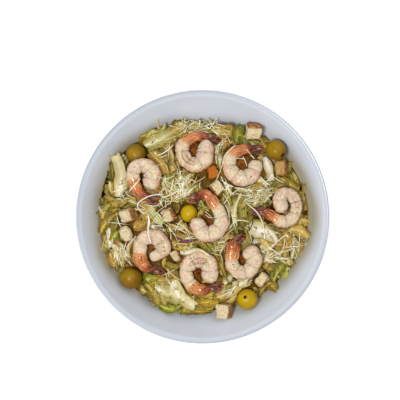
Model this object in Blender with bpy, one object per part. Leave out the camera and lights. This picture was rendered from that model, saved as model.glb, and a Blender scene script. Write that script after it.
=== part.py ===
"""Shrimp caesar salad in a round white bowl.

The bowl stands on its foot ring with its axis on +Z. A bed of torn romaine and grated cheese fills it to
just under the rim, and curled shrimps, green olives and croutons lie in the top of the bed.
Lengths are in metres. The tables of places are in millimetres from the bowl's axis, +X right and +Y up in
the view from above, and angles are in degrees.
"""

import math
import random

import bmesh
import bpy
from mathutils import Euler, Matrix, Vector, noise
from mathutils.bvhtree import BVHTree

MM = 0.001

# The bowl.
BOWL_RADIUS = 125 * MM
BOWL_HEIGHT = 70 * MM
INNER_RADIUS = 121 * MM
INNER_FLOOR = 8 * MM
OUTER_BASE = 3.5 * MM
WALL_POWER = 4.5
FOOT_INNER = 41 * MM
FOOT_OUTER = 47 * MM
FOOT_RECESS = 3 * MM
BOWL_SEGMENTS = 52
INSIDE_STATIONS = 8
OUTSIDE_STATIONS = 6

# The bed of salad: a dome whose edge lies nearer to the rim at left and right than at the top.
BED_TOP = 53 * MM
BED_EDGE = 39.5 * MM
BED_RADIUS = 101 * MM
BED_POWER = 2.6
EDGE_OVAL = 4.5 * MM
EDGE_WAVE = 1.8 * MM
TOP_RINGS = 14
UNDERSIDE_RINGS = 7
LEAST_DEPTH = 0.6 * MM
PRESS_STEP = 0.3 * MM
BUMP_HEIGHT = 1.6 * MM
BUMP_LENGTH = 17 * MM
CONTENTS_TOP = 65 * MM

# Clear space between the separate pieces.
GAP = 0.4 * MM
WALL_CLEARANCE = 1.9 * MM

# The shrimp: its body is lower than it is wide, and its head end is a round cap.
BODY_FLATNESS = 0.72
CAP_SHARES = (0.06, 0.35, 1.0)
CAP_POWER = 2.6
FAN_START = 0.84
FAN_HALF_HEIGHT = 0.8
FAN_NOTCH = 0.6
SEGMENT_SWELL = 0.03
SLIT_DEPTH = 0.14
TAIL_START = 0.70
BODY_RINGS = 15
SHRIMP_SIDES = 10

# name: how deep it lies in the bed, its share of the bed's slope, and its middle line from head to tail:
# x, y and the body's half width there.
SHRIMPS = {
    "shrimp_1": (
        3.0, 0.1,
        (-54.0, 28.0, 7.5), (-51.1, 34.4, 8.4), (-50.0, 41.2, 8.5), (-52.5, 47.8, 7.6),
        (-59.1, 51.3, 7.0), (-66.3, 49.1, 7.1), (-69.2, 42.7, 6.8), (-68.7, 36.3, 6.2),
        (-66.6, 29.5, 5.7), (-62.4, 23.3, 5.1), (-56.0, 18.9, 4.5), (-49.6, 16.5, 4.9),
        (-43.4, 14.8, 5.1),
    ),
    "shrimp_2": (
        3.4, 0.8,
        (-2.5, 73.0, 6.9), (2.3, 68.7, 8.2), (2.8, 61.9, 8.5), (0.5, 55.0, 8.1),
        (-6.7, 50.9, 7.7), (-15.0, 54.2, 7.1), (-19.6, 61.6, 6.9), (-20.1, 68.9, 6.8),
        (-16.4, 75.0, 6.1), (-9.3, 79.5, 5.3), (-1.5, 80.4, 4.9), (6.4, 79.6, 4.5),
        (13.3, 78.4, 4.1), (20.4, 76.6, 3.1),
    ),
    "shrimp_3": (
        3.6, 0.8,
        (53.0, 56.7, 6.3), (52.5, 50.1, 7.1), (49.4, 42.4, 7.8), (41.7, 37.5, 7.9),
        (32.8, 40.0, 7.8), (27.2, 46.9, 7.2), (26.5, 54.7, 6.7), (29.5, 61.6, 6.3),
        (35.3, 65.4, 5.8), (42.2, 67.4, 5.2), (49.6, 67.4, 5.0), (56.5, 67.0, 5.0),
        (62.8, 66.8, 4.9),
    ),
    "shrimp_4": (
        1.5, 0.8,
        (81.0, 4.3, 5.5), (78.5, 9.8, 6.7), (76.5, 16.3, 7.4), (80.2, 22.7, 6.3),
        (88.1, 22.0, 6.0), (93.3, 15.1, 6.0), (93.9, 7.4, 5.7), (90.8, 0.0, 6.0),
        (84.4, -4.3, 6.2), (77.4, -4.3, 6.0), (71.2, -0.6, 5.2), (64.7, 3.3, 5.1),
        (57.4, 5.3, 4.8), (51.1, 4.9, 4.4), (46.2, 3.9, 3.3),
    ),
    "shrimp_5": (
        3.0, 0,
        (-3.8, -0.8, 6.3), (-4.4, -6.9, 7.3), (-2.0, -13.6, 7.8), (4.4, -17.3, 7.7),
        (11.8, -15.5, 7.8), (17.5, -9.8, 7.5), (18.9, -2.0, 6.7), (16.5, 5.4, 6.1),
        (12.3, 12.0, 5.7), (7.7, 17.9, 5.5), (2.5, 22.0, 5.1), (-3.8, 20.0, 4.8),
        (-10.3, 17.7, 4.6), (-16.4, 16.1, 4.3),
    ),
    "shrimp_6": (
        3.4, 0.8,
        (-52.6, -40.6, 4.9), (-44.9, -37.9, 5.5), (-39.5, -32.2, 8.0), (-40.4, -24.6, 7.8),
        (-47.1, -19.4, 7.4), (-54.9, -19.9, 6.9), (-60.8, -25.5, 6.8), (-62.1, -33.4, 6.6),
        (-62.2, -40.8, 6.8), (-59.2, -47.1, 6.2), (-53.9, -51.5, 5.1), (-47.6, -53.4, 4.3),
        (-41.7, -55.0, 3.5), (-36.4, -56.5, 2.4),
    ),
    "shrimp_7": (
        3.4, 0.8,
        (4.6, -64.8, 6.9), (7.0, -58.4, 8.0), (7.6, -51.1, 8.2), (3.7, -43.3, 8.2),
        (-3.7, -41.6, 8.4), (-11.8, -45.0, 7.9), (-16.4, -52.0, 6.5), (-15.7, -59.4, 6.5),
        (-11.7, -66.8, 6.5), (-5.4, -71.7, 6.0), (1.5, -72.9, 5.5), (8.3, -71.6, 4.8),
        (15.2, -70.3, 4.7), (21.6, -69.7, 4.3),
    ),
    "shrimp_8": (
        3.4, 0.8,
        (44.7, -29.5, 7.3), (47.9, -35.4, 8.3), (51.2, -42.2, 8.1), (49.1, -49.5, 7.6),
        (43.7, -55.4, 6.9), (36.4, -55.0, 7.0), (30.2, -49.6, 6.5), (28.8, -42.7, 6.7),
        (29.8, -35.4, 6.8), (31.2, -28.5, 6.7), (34.6, -23.2, 5.4), (39.8, -20.6, 3.7),
        (45.0, -19.3, 2.6),
    ),
}

OLIVE_RADIUS = 10.1 * MM
OLIVE_HALF_LENGTH = 11.0 * MM
OLIVE_HOLE = 2.0 * MM
OLIVE_HOLE_DEPTH = 3.0 * MM
OLIVE_SEGMENTS = 12
OLIVE_RINGS = 6

# name: depth in the bed; x, y; the way that the pit hole faces, round Z and above the horizon; size.
OLIVES = {
    "olive_1": (12, -67.0, 63.4, 150, -20, 0.98),
    "olive_2": (6, 73.8, 66.6, -42, 38, 1.00),
    "olive_3": (11, -13.6, 3.2, 250, -30, 0.84),
    "olive_4": (11, -72.2, -61.9, -8, -12, 1.06),
    "olive_5": (9, 45.2, -83.4, 129, 66, 1.04),
}

CROUTON_UNEVEN = 0.9 * MM

# name: depth in the bed; x, y; length, width, height; turn about X, Y and Z; how far the edges are worn off.
CROUTONS = {
    "crouton_1": (4, 51.0, 85.9, 15, 13, 12, 30, 4, -4, 1.3),
    "crouton_2": (4, 79.4, 49.0, 11, 15, 10, 4, -16, 2, 1.3),
    "crouton_3": (5, 13.9, 29.0, 11, 11, 9, 8, 14, 38, 1.3),
    "crouton_4": (7, 10.2, 44.8, 9, 12, 7, -6, 8, 12, 1.3),
    "crouton_5": (4, -74.4, 1.4, 13, 13, 11, 6, -26, 14, 1.6),
    "crouton_6": (4, -77.2, -17.2, 12, 16, 11, -6, 8, 28, 3.2),
    "crouton_7": (5, 22.1, -94.8, 14, 14, 12, 4, -24, -4, 1.3),
    "crouton_8": (6, 60.2, -63.6, 11, 14, 10, 6, -20, -38, 1.8),
    "crouton_9": (5, -33.6, 2.0, 12, 13, 9, 6, -26, 20, 1.6),
    "crouton_10": (7, -26.6, -38.8, 8, 11, 8, -10, -16, 30, 1.6),
}

LEAF_THICKNESS = 1.3 * MM
RIB_THICKNESS = 2.6 * MM
LEAF_BITE = 0.6 * MM

# Torn leaves that show: x, y; heading; length, width; how far the sides curl up; how far the far end lifts;
# how much the far end narrows; and whether it is a thick white rib.
LEAVES = (
    (-42.1, 78.8, 28, 33, 14, 2.2, 3.0, 0.1, False),
    (-83.0, 42.4, 97, 38, 13, 2.6, 5.0, 0.7, True),
    (-91.3, 46.0, 95, 18, 6, 1.6, 2.0, 0.3, False),
    (-24.5, 88.6, 30, 16, 12, 3.2, 2.0, 0.1, False),
    (-43.2, 54.4, -55, 26, 13, 2.4, 2.0, 0.2, False),
    (-47.1, 1.0, -50, 31, 12, 2.0, 3.0, 0.2, False),
    (22.0, 86.4, 4, 21, 18, 2.4, 2.0, 0.1, False),
    (35.8, 83.5, 80, 18, 12, 3.4, 2.0, 0.1, False),
    (60.0, 78.0, -20, 15, 8, 2.4, 1.5, 0.2, False),
    (66.8, 47.6, -75, 24, 9, 1.8, 3.0, 0.2, True),
    (87.3, 33.4, -31, 27, 12, 3.0, 2.0, 0.2, False),
    (60.4, 36.3, 20, 10, 9, 3.4, 1.5, 0.1, False),
    (62.9, 16.7, 30, 9, 8, 3.2, 2.0, 0.1, False),
    (41.3, 5.9, 88, 27, 10, 2.6, 2.0, 0.3, False),
    (45.7, -6.4, 75, 19, 9, 2.8, 1.5, 0.2, False),
    (52.5, -15.2, 60, 17, 10, 1.6, 3.0, 0.4, True),
    (71.2, -18.2, -60, 17, 9, 1.6, 2.5, 0.2, True),
    (98.6, -15.7, -25, 20, 12, 2.6, 2.0, 0.2, False),
    (83.8, -26.0, 82, 21, 13, 2.4, 1.5, 0.1, False),
    (77.4, -53.6, 60, 15, 11, 3.4, 2.0, 0.1, False),
    (71.2, -70.6, -40, 11, 10, 2.8, 1.5, 0.2, False),
    (27.0, -76.4, 25, 25, 10, 2.0, 3.0, 0.2, False),
    (16.7, -45.2, -65, 33, 7, 2.0, 2.0, 0.3, False),
    (5.4, -86.4, 0, 29, 12, 3.0, 0.5, 0.1, False),
    (-3.4, -95.6, 0, 27, 8, 2.6, 1.0, 0.3, False),
    (-33.4, -91.8, -5, 21, 10, 3.2, 1.0, 0.2, False),
    (-34.9, -77.6, -20, 20, 18, 1.2, 3.0, 0.0, False),
    (-21.1, -79.6, -48, 33, 12, 2.0, 2.0, 0.6, True),
    (-49.6, -77.6, -60, 24, 11, 2.8, 2.0, 0.2, False),
    (-52.0, -62.4, 12, 13, 9, 3.4, 2.0, 0.1, False),
    (-38.8, -64.4, -6, 14, 9, 2.2, 1.5, 0.1, False),
    (-31.0, -49.0, -12, 14, 7, 2.4, 1.5, 0.1, False),
    (-30.9, -11.8, 30, 11, 9, 2.6, 1.5, 0.1, False),
    (-63.3, -8.4, 20, 13, 11, 2.2, 1.5, 0.1, False),
    (-23.1, -29.4, -16, 16, 9, 1.6, 2.0, 0.2, False),
    (-90.8, -44.2, -70, 15, 11, 2.6, 2.0, 0.2, False),
    (-95.6, -6.0, 50, 29, 10, 3.4, 3.0, 0.3, False),
    (-89.4, 12.4, 20, 14, 10, 3.0, 2.0, 0.1, False),
    (-88.6, -19.4, 60, 12, 8, 3.0, 2.0, 0.2, False),
    (-70.0, 16.0, -30, 13, 9, 2.4, 1.5, 0.1, False),
)

# Grated cheese: where it lies thickest (x, y, spread, number of shreds), and the loose rest.
CHEESE_PATCHES = (
    (-4.0, 90.0, 22, 6),
    (-20.0, 34.0, 20, 5),
    (-38.0, 25.0, 14, 3),
    (58.0, 22.0, 20, 5),
    (24.0, 62.0, 14, 3),
    (22.0, 16.0, 14, 2),
    (72.0, -36.0, 20, 6),
    (-82.0, -34.0, 14, 4),
    (-20.0, -16.0, 14, 2),
    (32.0, -64.0, 16, 2),
    (-58.0, 10.0, 16, 2),
)
LOOSE_SHREDS = 4
SHRED_LENGTH = (8 * MM, 17 * MM)
SHRED_RADIUS = 0.9 * MM
SHRED_STEPS = 3
SHRED_HUMP = 1.8 * MM
SEED = 7

COLOURS = {
    "bowl": ((0.72, 0.74, 0.78), 0.12),
    "salad_bed": ((0.42, 0.36, 0.14), 0.55),
    "shrimp": ((0.78, 0.52, 0.34), 0.38),
    "olive": ((0.36, 0.26, 0.02), 0.22),
    "crouton": ((0.66, 0.49, 0.27), 0.85),
}


def clear_scene():
    for obj in list(bpy.data.objects):
        bpy.data.objects.remove(obj, do_unlink=True)


def material(name, kind):
    """The material of one piece, with the colour and the gloss of its kind."""
    colour, roughness = COLOURS[kind]
    made = bpy.data.materials.new(name)
    made.use_nodes = True
    shader = made.node_tree.nodes["Principled BSDF"]
    shader.inputs["Base Color"].default_value = (*colour, 1)
    shader.inputs["Roughness"].default_value = roughness
    shader.inputs["Metallic"].default_value = 0
    return made


def object_from(bm, name, kind, smooth=True):
    """A linked object that holds the bmesh, with its faces turned outwards."""
    bmesh.ops.recalc_face_normals(bm, faces=bm.faces)
    mesh = bpy.data.meshes.new(name)
    bm.to_mesh(mesh)
    bm.free()
    mesh.materials.append(material(name, kind))
    if smooth:
        mesh.shade_smooth()
        mesh.set_sharp_from_angle(angle=math.radians(50))
    obj = bpy.data.objects.new(name, mesh)
    bpy.context.scene.collection.objects.link(obj)
    return obj


def smooth_step(t):
    t = min(max(t, 0.0), 1.0)
    return t * t * (3 - 2 * t)


def mix(a, b, t):
    return a + (b - a) * t


# The bowl.


def stations(start, end, number):
    """Distances from the axis where a wall's profile has a point, closer together where it is steep."""
    return [mix(start, end, (i / number) ** 0.75) for i in range(number + 1)]


def wall_curve(floor, radius, full_radius):
    return floor + (BOWL_HEIGHT - floor) * (radius / full_radius) ** WALL_POWER


INSIDE_RADII = [0] + stations(28 * MM, INNER_RADIUS, INSIDE_STATIONS)
INSIDE = [(r, wall_curve(INNER_FLOOR, r, INNER_RADIUS)) for r in INSIDE_RADII]


def wall_height(radius):
    """Height of the bowl's inner face at this distance from the axis."""
    for (r0, z0), (r1, z1) in zip(INSIDE, INSIDE[1:]):
        if radius <= r1:
            return mix(z0, z1, (radius - r0) / (r1 - r0))
    return 2 * BOWL_HEIGHT


def bowl_profile():
    """Points (radius, height) from the middle of the underside round the rim to the middle of the floor."""
    rim = (BOWL_RADIUS - INNER_RADIUS) / 2
    points = [(0, FOOT_RECESS), (FOOT_INNER - 2 * MM, FOOT_RECESS), (FOOT_INNER, 0), (FOOT_OUTER, 0)]
    for r in stations(FOOT_OUTER + 2 * MM, BOWL_RADIUS, OUTSIDE_STATIONS):
        drop = rim * smooth_step((r / BOWL_RADIUS - 0.7) / 0.3)
        points.append((r, wall_curve(OUTER_BASE, r, BOWL_RADIUS) - drop))
    for step in (1, 2, 3):
        angle = math.pi * step / 4
        across, up = rim * math.cos(angle), rim * math.sin(angle)
        points.append((BOWL_RADIUS - rim + across, BOWL_HEIGHT - rim + up))
    rim_foot = (INNER_RADIUS - 0.2 * MM, BOWL_HEIGHT - rim)
    return points + [rim_foot] + INSIDE[-2::-1]


def turned(profile, segments):
    """A closed turned body from a profile that starts and ends on the axis."""
    bm = bmesh.new()
    points = [bm.verts.new((radius, 0, height)) for radius, height in profile]
    edges = [bm.edges.new(pair) for pair in zip(points, points[1:])]
    bmesh.ops.spin(
        bm, geom=points + edges, axis=(0, 0, 1), cent=(0, 0, 0), angle=math.tau, steps=segments, use_merge=True
    )
    bmesh.ops.remove_doubles(bm, verts=bm.verts, dist=0.01 * MM)
    return bm


def make_bowl():
    return object_from(turned(bowl_profile(), BOWL_SEGMENTS), "bowl", "bowl")


# The bed's bare surface, which the toppings are set into.


def bed_edge(angle):
    """Distance of the bare bed's uneven edge from the axis."""
    wave = 0.6 * math.sin(3 * angle + 0.8) + 0.4 * math.sin(7 * angle + 2)
    return BED_RADIUS + EDGE_OVAL * math.cos(2 * angle) + EDGE_WAVE * wave


def bed_height(x, y):
    radius = math.hypot(x, y)
    dome = BED_EDGE + (BED_TOP - BED_EDGE) * (1 - (radius / BED_RADIUS) ** BED_POWER)
    bump = noise.noise(Vector((x / BUMP_LENGTH, y / BUMP_LENGTH, 0.3)))
    return dome + BUMP_HEIGHT * bump


def bed_tilt(x, y, share):
    """The rotation that turns +Z by a share of the dome's own slope, its bumps left out."""
    radius = math.hypot(x, y)
    slope = BED_POWER * (BED_TOP - BED_EDGE) / BED_RADIUS * (radius / BED_RADIUS) ** (BED_POWER - 1)
    normal = Vector((x / radius * slope * share, y / radius * slope * share, 1))
    return Vector((0, 0, 1)).rotation_difference(normal.normalized()).to_matrix()


def disc(rings):
    """A hexagon of radius 1 in a lattice of triangles."""
    bm = bmesh.new()
    bmesh.ops.create_circle(bm, cap_ends=True, cap_tris=True, segments=6, radius=1)
    bmesh.ops.subdivide_edges(bm, edges=bm.edges, cuts=rings - 1, use_grid_fill=True)
    return bm


def spread_over_bed(bm, height):
    """Rounds the hexagon to the bed's outline and gives each point the height that its place asks for."""
    border = {v for v in bm.verts if v.is_boundary}
    for vertex in bm.verts:
        angle = math.atan2(vertex.co.y, vertex.co.x)
        in_sector = (angle + math.pi / 6) % (math.pi / 3) - math.pi / 6
        share = vertex.co.xy.length * math.cos(in_sector) / math.cos(math.pi / 6)
        radius = share * bed_edge(angle)
        x, y = radius * math.cos(angle), radius * math.sin(angle)
        vertex.co = (x, y, wall_height(radius) + GAP if vertex in border else height(x, y))


def bed_core(placed):
    """The bare bed: a bumpy dome, pressed down under the toppings, whose underside follows the bowl."""
    underside = disc(UNDERSIDE_RINGS)
    border = [edge for edge in underside.edges if edge.is_boundary]
    bmesh.ops.subdivide_edges(underside, edges=border, cuts=TOP_RINGS // UNDERSIDE_RINGS - 1)
    bmesh.ops.triangulate(underside, faces=underside.faces)
    spread_over_bed(underside, lambda x, y: wall_height(math.hypot(x, y)) + GAP)
    core = disc(TOP_RINGS)
    spread_over_bed(core, bed_height)
    press(core, placed)
    half = bpy.data.meshes.new("underside")
    underside.to_mesh(half)
    underside.free()
    core.from_mesh(half)
    bpy.data.meshes.remove(half)
    bmesh.ops.remove_doubles(core, verts=core.verts, dist=0.01 * MM)
    return object_from(core, "salad_bed", "salad_bed")


def press(bm, placed):
    """Lowers the dome step by step until it is clear of every topping."""
    while True:
        tree = BVHTree.FromBMesh(bm)
        hit = {face for other in placed for face, _ in tree.overlap(other)}
        if not hit:
            return
        bm.faces.ensure_lookup_table()
        for vertex in {v for face in hit for v in bm.faces[face].verts if not v.is_boundary}:
            least = wall_height(vertex.co.xy.length) + GAP + LEAST_DEPTH
            vertex.co.z = max(vertex.co.z - PRESS_STEP, least)


# Toppings.


def curve_through(points, number):
    """Points (x, y, half width), evenly spaced in plan, along a smooth curve through the given ones."""
    ends = [2 * points[0] - points[1]] + points + [2 * points[-1] - points[-2]]
    fine = []
    for a, b, c, d in zip(ends, ends[1:], ends[2:], ends[3:]):
        square = 2 * a - 5 * b + 4 * c - d
        cube = 3 * b - a - 3 * c + d
        for step in range(12):
            t = step / 12
            fine.append(0.5 * (2 * b + (c - a) * t + square * t**2 + cube * t**3))
    fine.append(points[-1])
    lengths = [0]
    for a, b in zip(fine, fine[1:]):
        lengths.append(lengths[-1] + (b - a).xy.length)
    curve, k = [], 0
    for i in range(number):
        goal = lengths[-1] * i / (number - 1)
        while k < len(fine) - 2 and lengths[k + 1] < goal:
            k += 1
        share = (goal - lengths[k]) / (lengths[k + 1] - lengths[k])
        curve.append(fine[k].lerp(fine[k + 1], share))
    return curve, lengths[-1]


def shrimp_shares(cap):
    """Where its rings lie along a shrimp: over its cap, which has this share, and then in even steps."""
    steps = [mix(cap, 1, i / BODY_RINGS) for i in range(1, BODY_RINGS + 1)]
    return [cap * share for share in CAP_SHARES] + steps


def shrimp_body(points):
    """A peeled shrimp on its side with its tail on, its underside at Z 0."""
    path, length = curve_through([Vector(point) * MM for point in points], 201)
    turn = (path[50] - path[0]).xy.cross((path[100] - path[50]).xy)
    way = 1 if turn > 0 else -1
    cap = path[0].z / length
    bm = bmesh.new()
    loops = []
    for i, u in enumerate(shrimp_shares(cap)):
        k = round(200 * u)
        along = (path[min(k + 3, 200)] - path[max(k - 3, 0)]).xy.normalized().to_3d()
        outward = Vector((along.y, -along.x, 0)) * way
        width = path[k].z * (1 - max(0, 1 - u / cap) ** CAP_POWER) ** (1 / CAP_POWER)
        height = mix(width * BODY_FLATNESS, FAN_HALF_HEIGHT * MM, smooth_step((u - FAN_START) / 0.14))
        swell = SEGMENT_SWELL * (1 if i % 2 else -1) * (cap < u < TAIL_START)
        slit = SLIT_DEPTH * smooth_step(u / 0.12) * smooth_step((0.62 - u) / 0.3)
        notch = FAN_NOTCH * width * (u == 1)
        middle = path[k].xy.to_3d() + Vector((0, 0, height))
        loop = []
        for side in range(SHRIMP_SIDES):
            angle = math.tau * side / SHRIMP_SIDES
            across, up = math.cos(angle), math.sin(angle)
            size = 1 + swell * max(across, 0) - (slit if side == 1 else 0)
            corner = outward * width * across + Vector((0, 0, height * up))
            pulled = along * notch * (1 - abs(across)) ** 2
            loop.append(bm.verts.new(middle + corner * size - pulled))
        loops.append(loop)
    for near, far in zip(loops, loops[1:]):
        for side in range(SHRIMP_SIDES):
            after = (side + 1) % SHRIMP_SIDES
            bm.faces.new((near[side], near[after], far[after], far[side]))
    bm.faces.new(loops[0])
    bm.faces.new(loops[-1])
    bmesh.ops.triangulate(bm, faces=bm.faces)
    return bm


def make_shrimp(name, slope_share, points):
    bm = shrimp_body(points)
    middle = Vector([sum(point[axis] for point in points) for axis in (0, 1)]).to_3d() * MM / len(points)
    bmesh.ops.translate(bm, verts=bm.verts, vec=-middle)
    bmesh.ops.rotate(bm, verts=bm.verts, matrix=bed_tilt(middle.x, middle.y, slope_share))
    obj = object_from(bm, name, "shrimp")
    obj.location = middle
    return obj


def make_olive(name, azimuth, rise, size):
    """A pitted olive at the origin whose hole faces azimuth and rise."""
    floor = OLIVE_HALF_LENGTH - OLIVE_HOLE_DEPTH
    profile = [(0, floor), (OLIVE_HOLE, floor)]
    lip = math.asin(OLIVE_HOLE / OLIVE_RADIUS) * 1.15
    for ring in range(OLIVE_RINGS):
        angle = mix(lip, math.pi, ring / OLIVE_RINGS)
        profile.append((OLIVE_RADIUS * math.sin(angle), OLIVE_HALF_LENGTH * math.cos(angle)))
    profile.append((0, -OLIVE_HALF_LENGTH))
    bm = turned(profile, OLIVE_SEGMENTS)
    facing = Vector((1, 0, 0))
    facing.rotate(Euler((0, -math.radians(rise), math.radians(azimuth))))
    turn = facing.to_track_quat("Z", "Y").to_matrix().to_4x4()
    bmesh.ops.transform(bm, matrix=turn @ Matrix.Scale(size, 4), verts=bm.verts)
    return object_from(bm, name, "olive")


def make_crouton(name, size, turn, edge):
    """A cut cube of toast with uneven corners."""
    rule = random.Random(name)
    bm = bmesh.new()
    bmesh.ops.create_cube(bm, size=1)
    for vertex in bm.verts:
        for axis in range(3):
            vertex.co[axis] = vertex.co[axis] * size[axis] * MM + rule.uniform(-1, 1) * CROUTON_UNEVEN
    bmesh.ops.bevel(
        bm, geom=bm.verts[:] + bm.edges[:], offset=edge * MM, segments=1, profile=0.5,
        affect="EDGES", material=-1,
    )
    bmesh.ops.rotate(bm, verts=bm.verts, matrix=Euler([math.radians(a) for a in turn]).to_matrix())
    bmesh.ops.triangulate(bm, faces=bm.faces)
    return object_from(bm, name, "crouton", smooth=False)


def shell_of(obj):
    """World points and faces of the object grown by the gap, which all else keeps clear of."""
    points = [obj.location + v.co + v.normal * GAP for v in obj.data.vertices]
    return points, [tuple(p.vertices) for p in obj.data.polygons]


def arrays_of(bm):
    bm.verts.index_update()
    arrays = [v.co.copy() for v in bm.verts], [tuple(v.index for v in f.verts) for f in bm.faces]
    bm.free()
    return arrays


def settle(obj, sink, placed):
    """Lowers the topping to its depth in the bed, clear of the bowl and of the toppings already laid."""
    points = [obj.location + v.co for v in obj.data.vertices]
    in_bed = max(bed_height(p.x, p.y) - p.z for p in points) - sink * MM
    on_wall = max(wall_height(math.hypot(p.x, p.y)) - p.z for p in points) + WALL_CLEARANCE
    obj.location.z = max(in_bed, on_wall)
    while any(BVHTree.FromPolygons(*shell_of(obj)).overlap(other) for other in placed):
        obj.location.z += 0.5 * MM
    placed.append(BVHTree.FromPolygons(*shell_of(obj)))


def lay_toppings():
    """Lays all toppings where they belong and returns their grown surfaces."""
    placed = []
    for name, (sink, x, y, azimuth, rise, size) in OLIVES.items():
        obj = make_olive(name, azimuth, rise, size)
        obj.location = (x * MM, y * MM, 0)
        settle(obj, sink, placed)
    for name, (sink, x, y, length, width, height, *turn, edge) in CROUTONS.items():
        obj = make_crouton(name, (length, width, height), turn, edge)
        obj.location = (x * MM, y * MM, 0)
        settle(obj, sink, placed)
    for name, (sink, slope_share, *points) in SHRIMPS.items():
        settle(make_shrimp(name, slope_share, points), sink, placed)
    return placed


# What the bed is made of: torn leaves and shreds of cheese.


def leaf_height(s, t, curl, lift):
    """Height over the bed at s along the leaf and t across it, both from -1 to 1."""
    ruffle = 0.35 * curl * math.sin(4.2 * s + 1.7 * t) * abs(t)
    return curl * t * t + lift * smooth_step((s - 0.1) / 0.9) + ruffle


def make_leaf(ground, x, y, heading, length, width, curl, lift, narrowing, thick):
    """A torn piece of leaf that lies on the bed along heading, with its sides curled up."""
    thickness = RIB_THICKNESS if thick else LEAF_THICKNESS
    bm = bmesh.new()
    bmesh.ops.create_grid(bm, x_segments=4, y_segments=2, size=1)
    turn = Matrix.Rotation(math.radians(heading), 3, "Z")
    for vertex in bm.verts:
        s, t = vertex.co.x, vertex.co.y
        rounding = math.sqrt(1 - 0.5 * s * s)
        narrow = 1 - narrowing * smooth_step((s + 1) / 2)
        flat = turn @ Vector((s * length / 2 * MM, t * width / 2 * MM * rounding * narrow, 0))
        spot = flat + Vector((x * MM, y * MM, 0))
        over = leaf_height(s, t, curl * MM, lift * MM) - LEAF_BITE + thickness / 2
        vertex.co = (spot.x, spot.y, ground(spot) + over)
    bmesh.ops.triangulate(bm, faces=bm.faces)
    bmesh.ops.recalc_face_normals(bm, faces=bm.faces)
    bmesh.ops.solidify(bm, geom=bm.faces[:], thickness=thickness)
    return bm


def make_shred(ground, spot, heading, length, bend):
    """A bent strip of cheese that arches over what lies under it."""
    bm = bmesh.new()
    bmesh.ops.create_cone(bm, cap_ends=True, segments=3, radius1=SHRED_RADIUS, radius2=SHRED_RADIUS, depth=2)
    bmesh.ops.rotate(bm, verts=bm.verts, matrix=Euler((0, math.pi / 2, 0)).to_matrix())
    along = [edge for edge in bm.edges if abs((edge.verts[0].co - edge.verts[1].co).x) > 1]
    bmesh.ops.subdivide_edges(bm, edges=along, cuts=SHRED_STEPS - 1)
    turn = Matrix.Rotation(heading, 3, "Z")
    for vertex in bm.verts:
        s = vertex.co.x
        middle = Vector((s * length / 2, bend * (1 - s * s), 0))
        height = ground(spot + turn @ middle) + SHRED_HUMP * (1 - s * s)
        lie = spot + turn @ (middle + Vector((0, vertex.co.y, 0)))
        vertex.co = (lie.x, lie.y, height + vertex.co.z)
    bmesh.ops.triangulate(bm, faces=bm.faces)
    bmesh.ops.recalc_face_normals(bm, faces=bm.faces)
    return bm


def is_clear(bm, placed):
    """Whether a piece keeps clear of the toppings, the bowl's wall and the height that the rim leaves."""
    for vertex in bm.verts:
        low = wall_height(math.hypot(vertex.co.x, vertex.co.y)) + GAP
        if vertex.co.z < low or vertex.co.z > CONTENTS_TOP:
            return False
    tree = BVHTree.FromBMesh(bm)
    return not any(tree.overlap(other) for other in placed)


def ground_of(trees):
    """A function that gives the height of the topmost surface at a place, or the bowl's wall beyond them."""

    def ground(spot):
        above = Vector((spot.x, spot.y, 2 * BOWL_HEIGHT))
        hits = [tree.ray_cast(above, Vector((0, 0, -1)))[0] for tree in trees]
        wall = wall_height(math.hypot(spot.x, spot.y)) + WALL_CLEARANCE
        return max([wall] + [hit.z for hit in hits if hit])

    return ground


def lay_leaves(ground, placed):
    """Each leaf at its full size or, where a topping is in the way, smaller; left out if nothing fits."""
    leaves = []
    for x, y, heading, length, width, *shape in LEAVES:
        for share in (1.0, 0.88, 0.76, 0.64, 0.52):
            bm = make_leaf(ground, x, y, heading, length * share, width * share, *shape)
            if is_clear(bm, placed):
                leaves.append(bm)
                break
            bm.free()
    return leaves


def shred_places(rule):
    """Seeded places for the cheese: thick in the patches, thin elsewhere."""
    for x, y, spread, number in CHEESE_PATCHES:
        for _ in range(number):
            yield Vector((rule.gauss(x, spread * 0.4) * MM, rule.gauss(y, spread * 0.4) * MM, 0))
    for _ in range(LOOSE_SHREDS):
        radius, angle = 94 * MM * math.sqrt(rule.random()), rule.uniform(0, math.tau)
        yield Vector((radius * math.cos(angle), radius * math.sin(angle), 0))


def lay_shreds(ground, placed):
    rule = random.Random(SEED)
    shreds = []
    for spot in shred_places(rule):
        for _ in range(6):
            heading, length = rule.uniform(0, math.tau), rule.uniform(*SHRED_LENGTH)
            bend = rule.uniform(-0.22, 0.22) * length
            bm = make_shred(ground, spot, heading, length, bend)
            if is_clear(bm, placed):
                shreds.append(bm)
                break
            bm.free()
    return shreds


# Fusing the bed.


def fuse(target, pieces):
    """Joins the pieces to the target with one Boolean on a collection."""
    group = bpy.data.collections.new("tools")
    bpy.context.scene.collection.children.link(group)
    for i, (points, faces) in enumerate(pieces):
        mesh = bpy.data.meshes.new(f"tool_{i}")
        mesh.from_pydata(points, [], faces)
        group.objects.link(bpy.data.objects.new(f"tool_{i}", mesh))
    boolean = target.modifiers.new("fuse", "BOOLEAN")
    boolean.operation = "UNION"
    boolean.solver = "MANIFOLD"
    boolean.operand_type = "COLLECTION"
    boolean.collection = group
    graph = bpy.context.evaluated_depsgraph_get()
    fused = bpy.data.meshes.new_from_object(target.evaluated_get(graph))
    target.modifiers.clear()
    target.data = fused
    for obj in list(group.objects):
        bpy.data.objects.remove(obj, do_unlink=True)
    bpy.data.collections.remove(group)


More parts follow.
